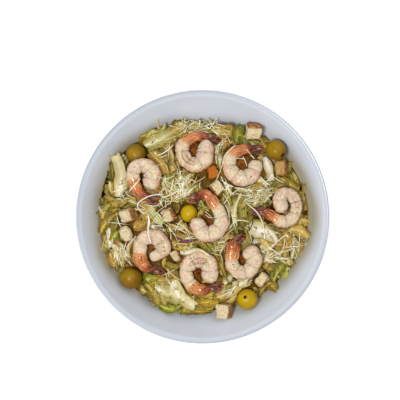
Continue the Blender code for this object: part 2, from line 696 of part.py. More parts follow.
def keep_largest_body(obj):
    """Drops the loose scraps that a cut or a join has left."""
    bm = bmesh.new()
    bm.from_mesh(obj.data)
    left, bodies = set(bm.verts), []
    while left:
        body, edge = set(), [left.pop()]
        while edge:
            vertex = edge.pop()
            body.add(vertex)
            near = {e.other_vert(vertex) for e in vertex.link_edges} & left
            left -= near
            edge.extend(near)
        bodies.append(body)
    largest = max(bodies, key=len)
    bmesh.ops.delete(bm, geom=[v for v in bm.verts if v not in largest], context="VERTS")
    bmesh.ops.triangulate(bm, faces=bm.faces)
    bm.to_mesh(obj.data)
    bm.free()


def make_bed(placed):
    core = bed_core(placed)
    trees = [BVHTree.FromObject(core, bpy.context.evaluated_depsgraph_get())]
    leaves = lay_leaves(ground_of(trees), placed)
    trees += [BVHTree.FromBMesh(leaf) for leaf in leaves]
    shreds = lay_shreds(ground_of(trees), placed)
    fuse(core, [arrays_of(piece) for piece in leaves + shreds])
    keep_largest_body(core)


def main():
    clear_scene()
    make_bowl()
    make_bed(lay_toppings())


main()
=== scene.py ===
"""Shrimp caesar salad in a round white bowl: the finished look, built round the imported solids.

Lengths are in metres and angles in degrees. The tables of places are in millimetres from the bowl's axis,
+X right and +Y up in the view from above. Colours are in 8-bit display values.
"""

import math
import random

import bmesh
import bpy
import numpy as np
from mathutils import Euler, Matrix, Vector, noise
from mathutils.bvhtree import BVHTree


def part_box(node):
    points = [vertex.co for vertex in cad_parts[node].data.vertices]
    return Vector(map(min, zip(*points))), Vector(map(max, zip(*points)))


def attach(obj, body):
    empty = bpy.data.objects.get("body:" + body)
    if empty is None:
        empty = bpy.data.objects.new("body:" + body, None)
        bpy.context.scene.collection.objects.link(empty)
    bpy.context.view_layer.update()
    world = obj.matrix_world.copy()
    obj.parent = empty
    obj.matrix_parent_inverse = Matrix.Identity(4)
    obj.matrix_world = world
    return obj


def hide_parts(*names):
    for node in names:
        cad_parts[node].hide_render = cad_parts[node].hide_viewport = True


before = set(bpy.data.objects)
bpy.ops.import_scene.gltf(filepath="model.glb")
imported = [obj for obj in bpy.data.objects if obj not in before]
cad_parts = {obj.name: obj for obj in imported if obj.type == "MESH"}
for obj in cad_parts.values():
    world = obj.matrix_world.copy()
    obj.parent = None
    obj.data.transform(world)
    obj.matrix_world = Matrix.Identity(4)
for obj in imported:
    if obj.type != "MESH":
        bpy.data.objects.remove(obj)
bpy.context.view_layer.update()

MM = 0.001
UP = Vector((0, 0, 1))

# The bowl.
BOWL_RADIUS = 125 * MM
BOWL_HEIGHT = 70 * MM
INNER_RADIUS = 121 * MM
INNER_FLOOR = 8 * MM
OUTER_BASE = 3.5 * MM
WALL_POWER = 4.5
FOOT_INNER = 41 * MM
FOOT_OUTER = 47 * MM
FOOT_RECESS = 3 * MM
FOOT_ROUNDING = 0.5 * MM
LIP_DROP = 2 * MM
LIP_ROUNDING = 0.9 * MM
LIP_START = 118.6 * MM
LIP_STEPS = 6
BOWL_SEGMENTS = 160
# How far from the bed's edge the painted shade on the bowl's wall reaches.
WALL_SHADE_WIDTH = 15 * MM

# The bed of salad.
BED = "salad_bed"
BED_TOP = 53 * MM
BED_EDGE = 39.5 * MM
BED_RADIUS = 101 * MM
BED_POWER = 2.6
EDGE_OVAL = 4.5 * MM
EDGE_WAVE = 1.8 * MM
EDGE_SLOPE = 6 * MM
BUMP_HEIGHT = 1.6 * MM
BUMP_LENGTH = 17 * MM
CORE_DEPTH = 2.6 * MM
CORE_RELIEF = 2.4 * MM
CORE_GAP = 0.4 * MM
CORE_SEGMENTS = 340
CORE_RINGS = 72
UNDER_RINGS = 14

# The grid that heights over the salad are kept on.
CELL = 0.5 * MM
HALF_GRID = 122 * MM
RAY_START = 0.2
CLEAR_GAP = 0.3 * MM
CLEAR_SHARE = 0.03

# Shrimps: the body is lower than it is wide, and its head end is a round cap.
BODY_FLATNESS = 0.72
BODY_END = 0.87
CAP_POWER = 2.6
BLADE_START = 0.78
BODY_CUTS = (150, 48)
BLADE_CUTS = (20, 16)
ROUTE_STEPS = 400
RING_LENGTH = 0.74 / 6
SLIT_ANGLE = math.radians(95)

# Olives and croutons.
OLIVE_RADIUS = 10.1 * MM
OLIVE_HALF_LENGTH = 11 * MM
OLIVE_HOLE = 2 * MM
OLIVE_HOLE_DEPTH = 3.4 * MM
OLIVE_RINGS = 32
OLIVE_SEGMENTS = 56
# The way that the painted light on the olives comes from.
LIT_SIDE = Vector((-0.34, 0.3, 0.89))
CROUTON_UNEVEN = 0.9 * MM
CROUTON_CUTS = 15

# name: its share of the bed's slope; where its shell begins; where it is slit open, from, to and how deep;
# and its middle line from head to tail: x, y and the body's half width there.
SHRIMPS = {
    "shrimp_1": (0.1, 0.56, (0, 0, 0), (
        (-54, 28, 7.5), (-51.1, 34.4, 8.4), (-50, 41.2, 8.5), (-52.5, 47.8, 7.6), (-59.1, 51.3, 7),
        (-66.3, 49.1, 7.1), (-69.2, 42.7, 6.8), (-68.7, 36.3, 6.2), (-66.6, 29.5, 5.7), (-62.4, 23.3, 5.1),
        (-56, 18.9, 4.5), (-49.6, 16.5, 4.9), (-43.4, 14.8, 5.1),
    )),
    "shrimp_2": (0.8, 0.58, (0.27, 0.52, 1), (
        (-2.5, 73, 6.9), (2.3, 68.7, 8.2), (2.8, 61.9, 8.5), (0.5, 55, 8.1), (-6.7, 50.9, 7.7),
        (-15, 54.2, 7.1), (-19.6, 61.6, 6.9), (-20.1, 68.9, 6.8), (-16.4, 75, 6.1), (-9.3, 79.5, 5.3),
        (-1.5, 80.4, 4.9), (6.4, 79.6, 4.5), (13.3, 78.4, 4.1), (20.4, 76.6, 3.1),
    )),
    "shrimp_3": (0.8, 0.6, (0, 0, 0), (
        (53, 56.7, 6.3), (52.5, 50.1, 7.1), (49.4, 42.4, 7.8), (41.7, 37.5, 7.9), (32.8, 40, 7.8),
        (27.2, 46.9, 7.2), (26.5, 54.7, 6.7), (29.5, 61.6, 6.3), (35.3, 65.4, 5.8), (42.2, 67.4, 5.2),
        (49.6, 67.4, 5), (56.5, 67, 5), (62.8, 66.8, 4.9),
    )),
    "shrimp_4": (0.8, 0.7, (0.24, 0.46, 0.6), (
        (81, 4.3, 5.5), (78.5, 9.8, 6.7), (76.5, 16.3, 7.4), (80.2, 22.7, 6.3), (88.1, 22, 6),
        (93.3, 15.1, 6), (93.9, 7.4, 5.7), (90.8, 0, 6), (84.4, -4.3, 6.2), (77.4, -4.3, 6),
        (71.2, -0.6, 5.2), (64.7, 3.3, 5.1), (57.4, 5.3, 4.8), (51.1, 4.9, 4.4), (46.2, 3.9, 3.3),
    )),
    "shrimp_5": (0, 0.6, (0, 0, 0), (
        (-3.8, -0.8, 6.3), (-4.4, -6.9, 7.3), (-2, -13.6, 7.8), (4.4, -17.3, 7.7), (11.8, -15.5, 7.8),
        (17.5, -9.8, 7.5), (18.9, -2, 6.7), (16.5, 5.4, 6.1), (12.3, 12, 5.7), (7.7, 17.9, 5.5),
        (2.5, 22, 5.1), (-3.8, 20, 4.8), (-10.3, 17.7, 4.6), (-16.4, 16.1, 4.3),
    )),
    "shrimp_6": (0.8, 0.6, (0.1, 0.36, 0.5), (
        (-52.6, -40.6, 4.9), (-44.9, -37.9, 5.5), (-39.5, -32.2, 8), (-40.4, -24.6, 7.8), (-47.1, -19.4, 7.4),
        (-54.9, -19.9, 6.9), (-60.8, -25.5, 6.8), (-62.1, -33.4, 6.6), (-62.2, -40.8, 6.8),
        (-59.2, -47.1, 6.2), (-53.9, -51.5, 5.1), (-47.6, -53.4, 4.3), (-41.7, -55, 3.5), (-36.4, -56.5, 2.4),
    )),
    "shrimp_7": (0.8, 0.64, (0.16, 0.44, 0.8), (
        (4.6, -64.8, 6.9), (7, -58.4, 8), (7.6, -51.1, 8.2), (3.7, -43.3, 8.2), (-3.7, -41.6, 8.4),
        (-11.8, -45, 7.9), (-16.4, -52, 6.5), (-15.7, -59.4, 6.5), (-11.7, -66.8, 6.5), (-5.4, -71.7, 6),
        (1.5, -72.9, 5.5), (8.3, -71.6, 4.8), (15.2, -70.3, 4.7), (21.6, -69.7, 4.3),
    )),
    "shrimp_8": (0.8, 0.62, (0.36, 0.5, 0.4), (
        (44.7, -29.5, 7.3), (47.9, -35.4, 8.3), (51.2, -42.2, 8.1), (49.1, -49.5, 7.6), (43.7, -55.4, 6.9),
        (36.4, -55, 7), (30.2, -49.6, 6.5), (28.8, -42.7, 6.7), (29.8, -35.4, 6.8), (31.2, -28.5, 6.7),
        (34.6, -23.2, 5.4), (39.8, -20.6, 3.7), (45, -19.3, 2.6),
    )),
}

# name: the way that the pit hole faces, round Z and above the horizon; size; how bright; whether it has a
# star cut.
OLIVES = {
    "olive_1": (150, -20, 0.98, 0.15, False),
    "olive_2": (-42, 38, 1, 0.3, False),
    "olive_3": (250, -30, 0.84, 0.95, False),
    "olive_4": (-8, -12, 1.06, 0.1, False),
    "olive_5": (129, 66, 1.04, 0.95, True),
}

# name: length, width, height; turn about X, Y and Z; how square it is; how browned, and over 1 fried; the
# crust's side.
CROUTONS = {
    "crouton_1": (15, 13, 12, 30, 4, -4, 9, 0.05, (0, 1, 0)),
    "crouton_2": (11, 15, 10, 4, -16, 2, 8, 1, (1, 0, 0)),
    "crouton_3": (11, 11, 9, 8, 14, 38, 9, 0, (-1, 0, 0)),
    "crouton_4": (9, 12, 7, -6, 8, 12, 6, 2.2, (1, 0, 0)),
    "crouton_5": (13, 13, 11, 6, -26, 14, 6, 0.05, (1, 0, 0)),
    "crouton_6": (12, 16, 11, -6, 8, 28, 2.6, 0.2, (0, 0, -1)),
    "crouton_7": (14, 14, 12, 4, -24, -4, 9, 0.05, (1, 0, 0)),
    "crouton_8": (11, 14, 10, 6, -20, -38, 5, 0.05, (1, 0, 0)),
    "crouton_9": (12, 13, 9, 6, -26, 20, 6, 0.3, (1, 0, 0)),
    "crouton_10": (8, 11, 8, -10, -16, 30, 5, 0.4, (1, 0, 0)),
}

# Leaf tones: blade, rib, margin.
TONES = {
    "milk": ((212, 206, 186), (240, 240, 236), (172, 160, 112)),
    "white": ((206, 198, 158), (240, 236, 224), (166, 152, 80)),
    "celadon": ((161, 156, 102), (228, 226, 204), (114, 118, 24)),
    "pale": ((192, 162, 84), (226, 208, 160), (140, 108, 26)),
    "sage": ((150, 138, 44), (208, 200, 136), (98, 88, 2)),
    "yellow": ((182, 148, 4), (224, 208, 92), (122, 94, 0)),
    "lime": ((126, 136, 0), (206, 212, 116), (76, 90, 0)),
    "green": ((84, 92, 0), (170, 178, 74), (46, 54, 0)),
    "olive": ((132, 100, 2), (204, 186, 92), (74, 54, 0)),
    "amber": ((164, 120, 48), (216, 184, 122), (100, 64, 10)),
    "brown": ((138, 90, 36), (202, 160, 104), (74, 42, 6)),
    "dark": ((66, 52, 0), (150, 134, 50), (32, 24, 0)),
    "rust": ((132, 62, 16), (190, 124, 70), (72, 30, 2)),
    "maroon": ((84, 30, 18), (146, 82, 60), (48, 12, 8)),
    "striped": ((146, 154, 30), (230, 230, 196), (96, 116, 0)),
}

# Torn leaves on top: x, y; heading; length, width; curl of the sides; lift of the far end; narrowing; tone;
# and, for the thick white ribs, that it is one.
LEAVES = (
    (-42.1, 78.8, 28, 34, 15, 1.4, 2.4, 0.1, "celadon"), (-83.8, 42.4, 97, 41, 15, 1, 2, 0.2, "white"),
    (-91.3, 46, 95, 18, 6, 1.6, 2, 0.3, "dark"), (-24.5, 88.6, 30, 16, 12, 3.2, 2, 0.1, "yellow"),
    (-43.2, 54.4, -55, 26, 13, 2.4, 2, 0.2, "amber"), (-47.1, 1, -50, 31, 13, 1.2, 2, 0.1, "striped"),
    (-25, 8.5, 80, 10, 5, 1.6, 1, 0.1, "maroon"), (-38.6, -43.6, -10, 13, 4, 1, 0.5, 0.2, "maroon"),
    (22, 86.4, 4, 21, 18, 2.4, 2, 0.1, "amber"), (35.8, 83.5, 80, 18, 12, 3.4, 2, 0.1, "green"),
    (60, 78, -20, 15, 8, 2.4, 1.5, 0.2, "brown"), (66.8, 47.6, -75, 25, 10, 1, 1, 0.2, "milk", "rib"),
    (60.5, 34.5, -40, 13, 8, 1.4, 1, 0.2, "white"), (87.3, 33.4, -31, 27, 12, 3, 2, 0.2, "olive"),
    (55.4, 30.3, 20, 10, 7, 2.4, 1.5, 0.1, "yellow"), (62.9, 16.7, 30, 9, 8, 3.2, 2, 0.1, "green"),
    (41.3, 5.9, 88, 27, 10, 2.6, 2, 0.3, "sage"), (45.7, -6.4, 75, 19, 9, 2.8, 1.5, 0.2, "dark"),
    (60, -15, -24, 28, 16, 1, 1.5, 0.2, "milk"), (71, -19.6, -60, 14, 7, 1.2, 1, 0.2, "milk", "rib"),
    (98.6, -15.7, -25, 20, 12, 2.6, 2, 0.2, "pale"), (83.8, -26, 82, 21, 13, 2.4, 1.5, 0.1, "amber"),
    (77.4, -53.6, 60, 15, 11, 3.4, 2, 0.1, "green"), (71.2, -70.6, -40, 11, 10, 2.8, 1.5, 0.2, "olive"),
    (27, -76.4, 25, 25, 10, 2, 3, 0.2, "pale"), (16.7, -45.2, -65, 33, 7, 2, 2, 0.3, "olive"),
    (5.4, -86.4, 0, 29, 12, 3, 0.5, 0.1, "yellow"), (-3.4, -95.6, 0, 27, 8, 2.6, 1, 0.3, "olive"),
    (-33.4, -91.8, -5, 21, 10, 3.2, 1, 0.2, "lime"), (-35.5, -76.5, -22, 28, 19, 1.2, 2, 0, "celadon"),
    (-20, -80, -46, 34, 17, 1.2, 1.5, 0.3, "white"), (-49.6, -77.6, -60, 24, 11, 2.8, 2, 0.2, "olive"),
    (-52, -62.4, 12, 13, 9, 3.4, 2, 0.1, "lime"), (-38.8, -64.4, -6, 14, 9, 2.2, 1.5, 0.1, "amber"),
    (-31, -49, -12, 14, 7, 2.4, 1.5, 0.1, "olive"), (-30.9, -11.8, 30, 11, 9, 2.6, 1.5, 0.1, "olive"),
    (-63.3, -8.4, 20, 13, 11, 2.2, 1.5, 0.1, "amber"), (-23.1, -29.4, -16, 16, 9, 1.6, 2, 0.2, "pale"),
    (-90.8, -44.2, -70, 15, 11, 2.6, 2, 0.2, "amber"), (-95.6, -6, 50, 29, 10, 3.4, 3, 0.3, "olive"),
    (-89.4, 12.4, 20, 14, 10, 3, 2, 0.1, "olive"), (-88.6, -19.4, 60, 12, 8, 3, 2, 0.2, "lime"),
    (-70, 16, -30, 13, 9, 2.4, 1.5, 0.1, "sage"), (34, 8, 80, 32, 5, 1.2, 1, 0.3, "white"),
    (9, -31, -50, 11, 5, 1.6, 1, 0.2, "lime"),
)

# Where shredded leaf mostly has a tone.
TONE_SPOTS = {
    "yellow": ((-24.5, 89.4), (5.4, -85.4)),
    "sage": ((-51.5, 80.5), (56.5, 31.4), (41.7, 11.8), (-36.8, 31.4), (25, 21.6)),
    "pale": (
        (12.3, 90.3), (-12.3, 95.3), (66, 41), (95.7, -17.7), (29, -74.6), (-36.8, -78.6), (92, -31),
        (-24, -28.5), (-86, -32.4), (-83, 16.7), (19.1, 56),
    ),
    "amber": (
        (31.9, 85.4), (81, -25.5), (71.2, -40.3), (-34, -63), (-63.3, -9.8), (-90.8, -44.2), (-41.7, 46.2),
        (-12.3, -12.8),
    ),
    "green": ((40, 78), (78, -54)),
    "brown": ((58.4, 75.6), (-50, 17), (-20, 79), (30, 66)),
    "olive": (
        (86, 36), (71, -66.8), (58.4, -74.6), (-3.4, -96.2), (-49.6, -77.6), (-31.9, -50), (-31.9, -11.8),
        (-100.6, -7.9), (-95.7, 11.8), (-19.1, 36.3), (12.3, -32.4), (22, -47),
    ),
    "dark": ((46.6, -5.9), (-90.8, 46.2)),
    "lime": ((-33.9, -92.3), (-51.6, -60.9)),
    "white": ((60.5, -24),),
    "rust": ((60, 1), (0, 79)),
}

# Grated cheese: x, y, half length and half width of a patch, how many shreds, and the way that most of them
# point.
CHEESE_PATCHES = (
    (-5, 91.5, 22, 5, 46, 20), (-12.3, 26, 12, 11, 44, 65), (-36.3, 25, 6, 12, 26, -60),
    (56, 23, 12, 8, 44, 15), (70.5, -39, 12, 6, 34, 20), (-81, -36.8, 8, 9, 34, -50),
    (-16.2, -15.2, 9, 7, 20, -35), (17.5, 63.3, 5, 12, 22, 60), (41.2, -66.3, 5, 4, 20, 40),
    (-19.6, 34.9, 6, 9, 26, 75), (30.4, 29, 8, 6, 12, 30), (-81, 22, 6, 7, 10, 0), (-68, 14, 8, 9, 8, 20),
    (22, -30, 10, 6, 10, 0), (30, -72, 12, 6, 8, 40), (0, -43, 14, 6, 16, 10), (92, -30, 6, 6, 14, 60),
)

# Single shreds that lie across other things: half thickness, which of the tones of cheese, and the points
# on them.
LONG_SHREDS = (
    (0.68, 4, (-61.9, 38.3), (-67, 32), (-73.7, 25)),
    (0.59, 1, (-40.8, 22.6), (-52, 21), (-62.8, 15), (-64.8, 9), (-60, 4), (-54.5, 2), (-52.5, -10)),
    (0.77, 0, (-54.5, 2), (-53.6, -8), (-54, -17), (-51, -27)),
    (0.63, 0, (22.8, 11.8), (25.5, 6), (26.6, -2), (26, -10.8)),
    (0.63, 0, (43.7, 67.8), (48, 63), (52.5, 57.9)), (0.5, 4, (33, 58.2), (38, 58.6), (43, 58)),
    (0.63, 1, (44.7, 12.8), (54.5, 4.4), (60, -6), (62.4, -22.6)),
    (0.5, 1, (27, -11.8), (32, -5), (38, -3.4), (46.6, -4.9)), (0.75, 0, (-44.7, 89), (-45, 94), (-44.8, 99)),
    (0.54, 4, (-39.3, 76.6), (-28, 80), (-18, 86)), (0.54, 2, (-2, 97), (-6, 88), (-14, 84)),
    (0.54, 1, (8, 94), (16, 84), (28, 83)), (0.54, 2, (19.6, 54), (24, 63), (33, 72)),
    (0.54, 1, (22, 57), (17, 44), (11, 30)), (0.5, 4, (-44, 40), (-36, 38), (-28, 41)),
    (0.5, 1, (-48, 50), (-38, 53), (-34, 44)), (0.5, 4, (9.8, -12), (14, -4), (18, 1)),
    (0.5, 1, (3, 2), (8, -1), (16, 0)), (0.54, 1, (83, -22), (81, -32), (76, -43)),
    (0.54, 0, (66, -33), (76, -24), (84, -18)), (0.72, 0, (72, -41), (80, -42), (88, -43)),
    (0.54, 1, (36, -66), (26, -76), (14, -82)), (0.54, 4, (-24, -6), (-14, -14), (-3, -21)),
    (0.5, 2, (-70, -22), (-62, -28), (-58, -30)), (0.54, 4, (-36, -52), (-28, -60), (-16, -66)),
)

# Larger scraps of herb, and specks in a row along a shrimp.
HERBS = (
    (83, 21.6), (93.8, 14.7), (94.8, 3.9), (-44.2, 38.5), (96, 9), (84.6, 17), (-11.5, -41.5), (-8.5, -40),
    (-5.5, -42), (-2.5, -43.5), (0.5, -42), (3.5, -45.5), (-10.5, -44.5), (-4.5, -45), (30.5, -47.5),
    (31.5, -50), (-40.5, -26.5), (-38.5, -30), (-37.5, -34), (-50, 55), (-1, 52), (48, 40),
)
COMMON_TONES = (
    "pale", "sage", "dark", "amber", "milk", "green", "white", "yellow", "rust", "celadon", "pale", "lime",
)
# Tones that keep more to their own place near the bowl's wall.
DEEP_TONES = ("green", "lime", "olive", "yellow", "dark", "amber")
DEEP_FROM = 55
# Tones of the large leaves that lie on top of everything round them.
CLEAN_TONES = ("celadon", "white", "milk", "striped")

# Where the coils of the shrimps leave a hole, which the core fills with dark rust as painted shade.
HOLES = ((-60.4, 40.3), (-9.3, 65.8), (38.3, 52), (4.4, -4.4), (-49.6, -29.5), (-5.9, -55.5), (39.8, -45.2))
HOLE_REACH = 7

STRIPS = 540
STRIP_LENGTH = (10, 29)
STRIP_WIDTH = (3, 10.5)
STRIP_PAINTED_SHADES = (0.34, 1.04)
STRIP_BEND = 2.2
STRIP_REACH = 4.5 * MM
STRIP_CUTS = (10, 4)
EDGE_STRIPS = 0.14
LEAF_CUTS = (25, 10)
LEAF_REACH = 20 * MM
LEAF_LIMIT = 117 * MM
LEAF_SHARES = (1, 0.9, 0.8, 0.7, 0.6)
LEAF_THICKNESS = 0.6 * MM
RIB_THICKNESS = 2.2 * MM
LEAF_BITE = 0.5 * MM
LARGE_LEAF_LIFT = 0.25 * MM
LEAF_CRUMPLE = 0.2 * MM
LINE_POINTS = 13

# The shreds in a patch of cheese are shorter than the loose ones.
HEADING_SPREAD = 38
LOOSE_SHREDS = 140
LOOSE_RADIUS = 88
SHRED_LENGTH = (9, 24)
PATCH_SHREDS = 0.72
SHRED_BEND = 0.07
SHRED_RADIUS = 0.44 * MM
SHRED_POINTS = 7
LONG_SHRED_POINTS = 28
SHRED_LIMIT = 108 * MM
SHRED_DRAWS = 5

# Thin shavings that drape over the toppings: x, y; heading; length, width; curl of the sides.
SHAVINGS = ((-5, -36.5, -6, 26, 8, 0.3), (41, -66, 35, 12, 8, 0.8), (-53.8, -14, 92, 22, 2.6, 0.2))
SHAVING_CUTS = (30, 12)

ONION = ((-25.5, -21.6), (-20, -23.6), (-13, -24.4), (-4.5, -22.6))
ONION_POINTS = 40
GRAINS = 26
WINE = (84, 22, 46)
CHEESE_TONES = ((250, 249, 240), (236, 233, 210), (214, 211, 174), (188, 184, 132), (230, 210, 164))

# The photo's camera, from its scale in pixels.
PICTURE_WIDTH = 400
PIXEL = BOWL_RADIUS / 127
CAMERA_SPOT = (-2.5, 17)
CAMERA_RISE = 1.1
FILM_GATE = 36
FLOOR_SIZE = 3

SEED = 11


def smooth_step(t):
    t = np.clip(t, 0, 1)
    return t * t * (3 - 2 * t)


def bell(distance, width):
    """1 at no distance, falling off to nothing beyond the width."""
    return math.exp(-((distance / width) ** 2))


def mix(a, b, t):
    return a + (b - a) * t


def lumps(place, scale, x=0, y=0, z=0):
    """Smooth noise from about -1 to 1 at so many lumps per metre, shifted by x, y and z."""
    return noise.noise(place * scale + Vector((x, y, z)))


def linear(colour):
    """Linear light of an 8-bit display colour."""
    shares = [c / 255 for c in colour]
    return tuple(c / 12.92 if c <= 0.04045 else ((c + 0.055) / 1.055) ** 2.4 for c in shares)


# Meshes.


def link(name, data):
    obj = bpy.data.objects.new(name, data)
    bpy.context.scene.collection.objects.link(obj)
    return obj


def piece_from(bm, name, made_of, outwards=True, sharp=None):
    """A linked object with smooth faces turned outwards, its place in its mesh."""
    if outwards:
        bmesh.ops.recalc_face_normals(bm, faces=bm.faces)
    mesh = bpy.data.meshes.new(name)
    bm.to_mesh(mesh)
    bm.free()
    mesh.materials.append(made_of)
    mesh.shade_smooth()
    if sharp:
        mesh.set_sharp_from_angle(angle=math.radians(sharp))
    return link(name, mesh)


def grid(bm, cuts):
    """The vertices of a new flat grid from -1 to 1 each way."""
    return bmesh.ops.create_grid(bm, x_segments=cuts[0], y_segments=cuts[1], size=1)["verts"]


def move(bm, way):
    bmesh.ops.translate(bm, verts=bm.verts, vec=way)


def turned(profile, segments):
    """A closed turned body from a profile (radius, height) that starts and ends on the axis."""
    bm = bmesh.new()
    points = [bm.verts.new((radius, 0, height)) for radius, height in profile]
    edges = [bm.edges.new(pair) for pair in zip(points, points[1:])]
    bmesh.ops.spin(
        bm, geom=points + edges, axis=UP, cent=(0, 0, 0), angle=math.tau, steps=segments, use_merge=True
    )
    bmesh.ops.remove_doubles(bm, verts=bm.verts, dist=0.002 * MM)
    return bm


def serve(piece, slot, *nodes):
    """Lets the piece ride on the dish in place of the solids that it stands for; its slot is not used."""
    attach(piece, "root")
    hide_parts(*nodes)
    return piece


# Finishes.


class Nodes:
    """A node tree that is being filled: values and outputs go in by the name or number of the input."""

    def __init__(self, tree, shader=None):
        self.tree, self.shader = tree, shader
        if shader:
            self.place = self.add("TexCoord", output="Object")

    def add(self, kind, inputs=None, output=0, **settings):
        """The output of a new node."""
        node = self.tree.nodes.new("ShaderNode" + kind)
        for key, value in settings.items():
            setattr(node, key, value)
        for key, value in (inputs or {}).items():
            self.feed(node.inputs[key], value)
        return node.outputs[output]

    def feed(self, socket, value):
        if isinstance(value, bpy.types.NodeSocket):
            self.tree.links.new(value, socket)
        else:
            socket.default_value = value

    def attribute(self, name, output="Fac"):
        return self.add("Attribute", output=output, attribute_name=name)

    def maths(self, operation, a, b=0, c=0, clamp=False):
        return self.add("Math", {0: a, 1: b, 2: c}, operation=operation, use_clamp=clamp)

    def plus(self, a, b):
        return self.maths("ADD", a, b)

    def less(self, a, b, clamp=False):
        return self.maths("SUBTRACT", a, b, clamp=clamp)

    def times(self, a, b):
        return self.maths("MULTIPLY", a, b)

    def power(self, a, b):
        return self.maths("POWER", a, b)

    def span(self, value, start, end):
        """0 at the start and 1 at the end."""
        return self.add("MapRange", {"Value": value, "From Min": start, "From Max": end})

    def stretch(self, value, contrast):
        """More contrast round the middle, within 0 and 1."""
        return self.maths("ADD", self.times(self.less(value, 0.5), contrast), 0.5, clamp=True)

    def blend(self, share, a, b, most=1, how="MIX"):
        """Colour a turned into colour b by a share of the most; plain colours are display values."""
        if most != 1:
            share = self.times(share, most)
        a, b = (c if isinstance(c, bpy.types.NodeSocket) else (*linear(c), 1) for c in (a, b))
        return self.add("Mix", {0: share, 6: a, 7: b}, 2, data_type="RGBA", blend_type=how)

    def layered(self, colour, *layers):
        """The colour under layers: the share of each, its colour, and the most of it."""
        for share, top, most in layers:
            colour = self.blend(share, colour, top, most)
        return colour

    def tinted(self, colour, by):
        return self.blend(1, colour, by, how="MULTIPLY")

    def ramp(self, share, *stops):
        """Colours or greys at places from 0 to 1."""
        colours = self.add("ValToRGB", {0: share})
        elements = colours.node.color_ramp.elements
        while len(elements) < len(stops):
            elements.new(0.5)
        for element, (place, colour) in zip(elements, stops):
            element.position = place
            element.color = (*linear(colour), 1) if isinstance(colour, tuple) else (colour, colour, colour, 1)
        return colours

    def greys(self, share, low, high):
        return self.ramp(share, (0, low), (1, high))

    def use(self, group, *values):
        return self.add("Group", dict(enumerate(values)), node_tree=group)

    def mottle(self, scale, contrast):
        return self.use(MOTTLE, self.place, scale, contrast)

    def specks(self, scale, size, share):
        return self.use(SPECKS, self.place, scale, size, share)

    def grain(self, scale, coarse):
        return self.use(GRAIN, self.place, scale, coarse)

    def surface(self, colour, roughness=None, relief=None, depth=0, coat=None):
        """Feeds the shader, with a relief that is so many millimetres deep."""
        normal = None
        if relief is not None:
            normal = self.add("Bump", {"Height": relief, "Distance": depth * MM, "Strength": 1})
        inputs = {"Base Color": colour, "Roughness": roughness, "Normal": normal, "Coat Weight": coat}
        for key, value in inputs.items():
            if value is not None:
                self.feed(self.shader.inputs[key], value)


def effect(name, inputs, output, build):
    """A node group with named inputs and one output, which build(nodes, *inputs) gives."""
    group = bpy.data.node_groups.new(name, "ShaderNodeTree")
    for key, value in inputs.items():
        kind = "Vector" if value is None else "Float"
        socket = group.interface.new_socket(key, in_out="INPUT", socket_type="NodeSocket" + kind)
        if value is not None:
            socket.default_value = value
    group.interface.new_socket(output, in_out="OUTPUT", socket_type="NodeSocketFloat")
    start = group.nodes.new("NodeGroupInput")
    end = group.nodes.new("NodeGroupOutput")
    nodes = Nodes(group)
    nodes.feed(end.inputs[0], build(nodes, *start.outputs[: len(inputs)]))
    return group


def mottle(nodes, place, scale, contrast):
    """Soft patches from 0 to 1, with a scale in patches per metre and a contrast."""
    return nodes.stretch(nodes.add("TexNoise", {"Vector": place, "Scale": scale, "Detail": 3}), contrast)


def specks(nodes, place, scale, size, share):
    """Small round specks: how many per metre, how large in the cell, and which share of the cells has one."""
    bent = nodes.add("TexNoise", {"Vector": place, "Scale": 900}, "Color")
    moved = nodes.add("VectorMath", {0: bent, "Scale": 0.0009}, operation="SCALE")
    spot = nodes.add("VectorMath", {0: place, 1: moved}, operation="ADD")
    distance = nodes.add("TexVoronoi", {"Vector": spot, "Scale": scale}, "Distance")
    near = nodes.maths("LESS_THAN", distance, size)
    chance = nodes.add("SeparateColor", {0: distance.node.outputs["Color"]})
    return nodes.times(near, nodes.maths("LESS_THAN", chance, share))


def grain(nodes, place, scale, coarse):
    """The height of a fine uneven surface, from two sizes of grain."""
    fine = nodes.add("TexNoise", {"Vector": place, "Scale": scale, "Detail": 4})
    broad = nodes.add("TexNoise", {"Vector": place, "Scale": nodes.times(scale, 0.22), "Detail": 2})
    return nodes.plus(fine, nodes.times(broad, coarse))


def fibres(nodes, lay, scale, contrast):
    """Streaks from 0 to 1 along a surface, whose place is in millimetres along and across it."""
    drawn = nodes.add("VectorMath", {0: lay, 1: (0.1, 1, 1)}, operation="MULTIPLY")
    return nodes.stretch(nodes.add("TexNoise", {"Vector": drawn, "Scale": scale, "Detail": 2}), contrast)


MOTTLE = effect("mottle", {"Place": None, "Scale": 300, "Contrast": 1.5}, "Patches", mottle)
SPECKS = effect("specks", {"Place": None, "Scale": 500, "Size": 0.2, "Share": 0.2}, "Specks", specks)
GRAIN = effect("grain", {"Place": None, "Scale": 800, "Coarse": 0.5}, "Height", grain)
FIBRES = effect("fibres", {"Lay": None, "Scale": 1, "Contrast": 2.5}, "Streaks", fibres)


def finish(name, build, **shader_values):
    """A finish whose shader takes plain values by name and the rest from build(nodes)."""
    made = bpy.data.materials.new(name)
    made.use_nodes = True
    nodes = Nodes(made.node_tree, made.node_tree.nodes["Principled BSDF"])
    for key, value in shader_values.items():
        nodes.feed(nodes.shader.inputs[key.replace("_", " ")], value)
    build(nodes)
    return made


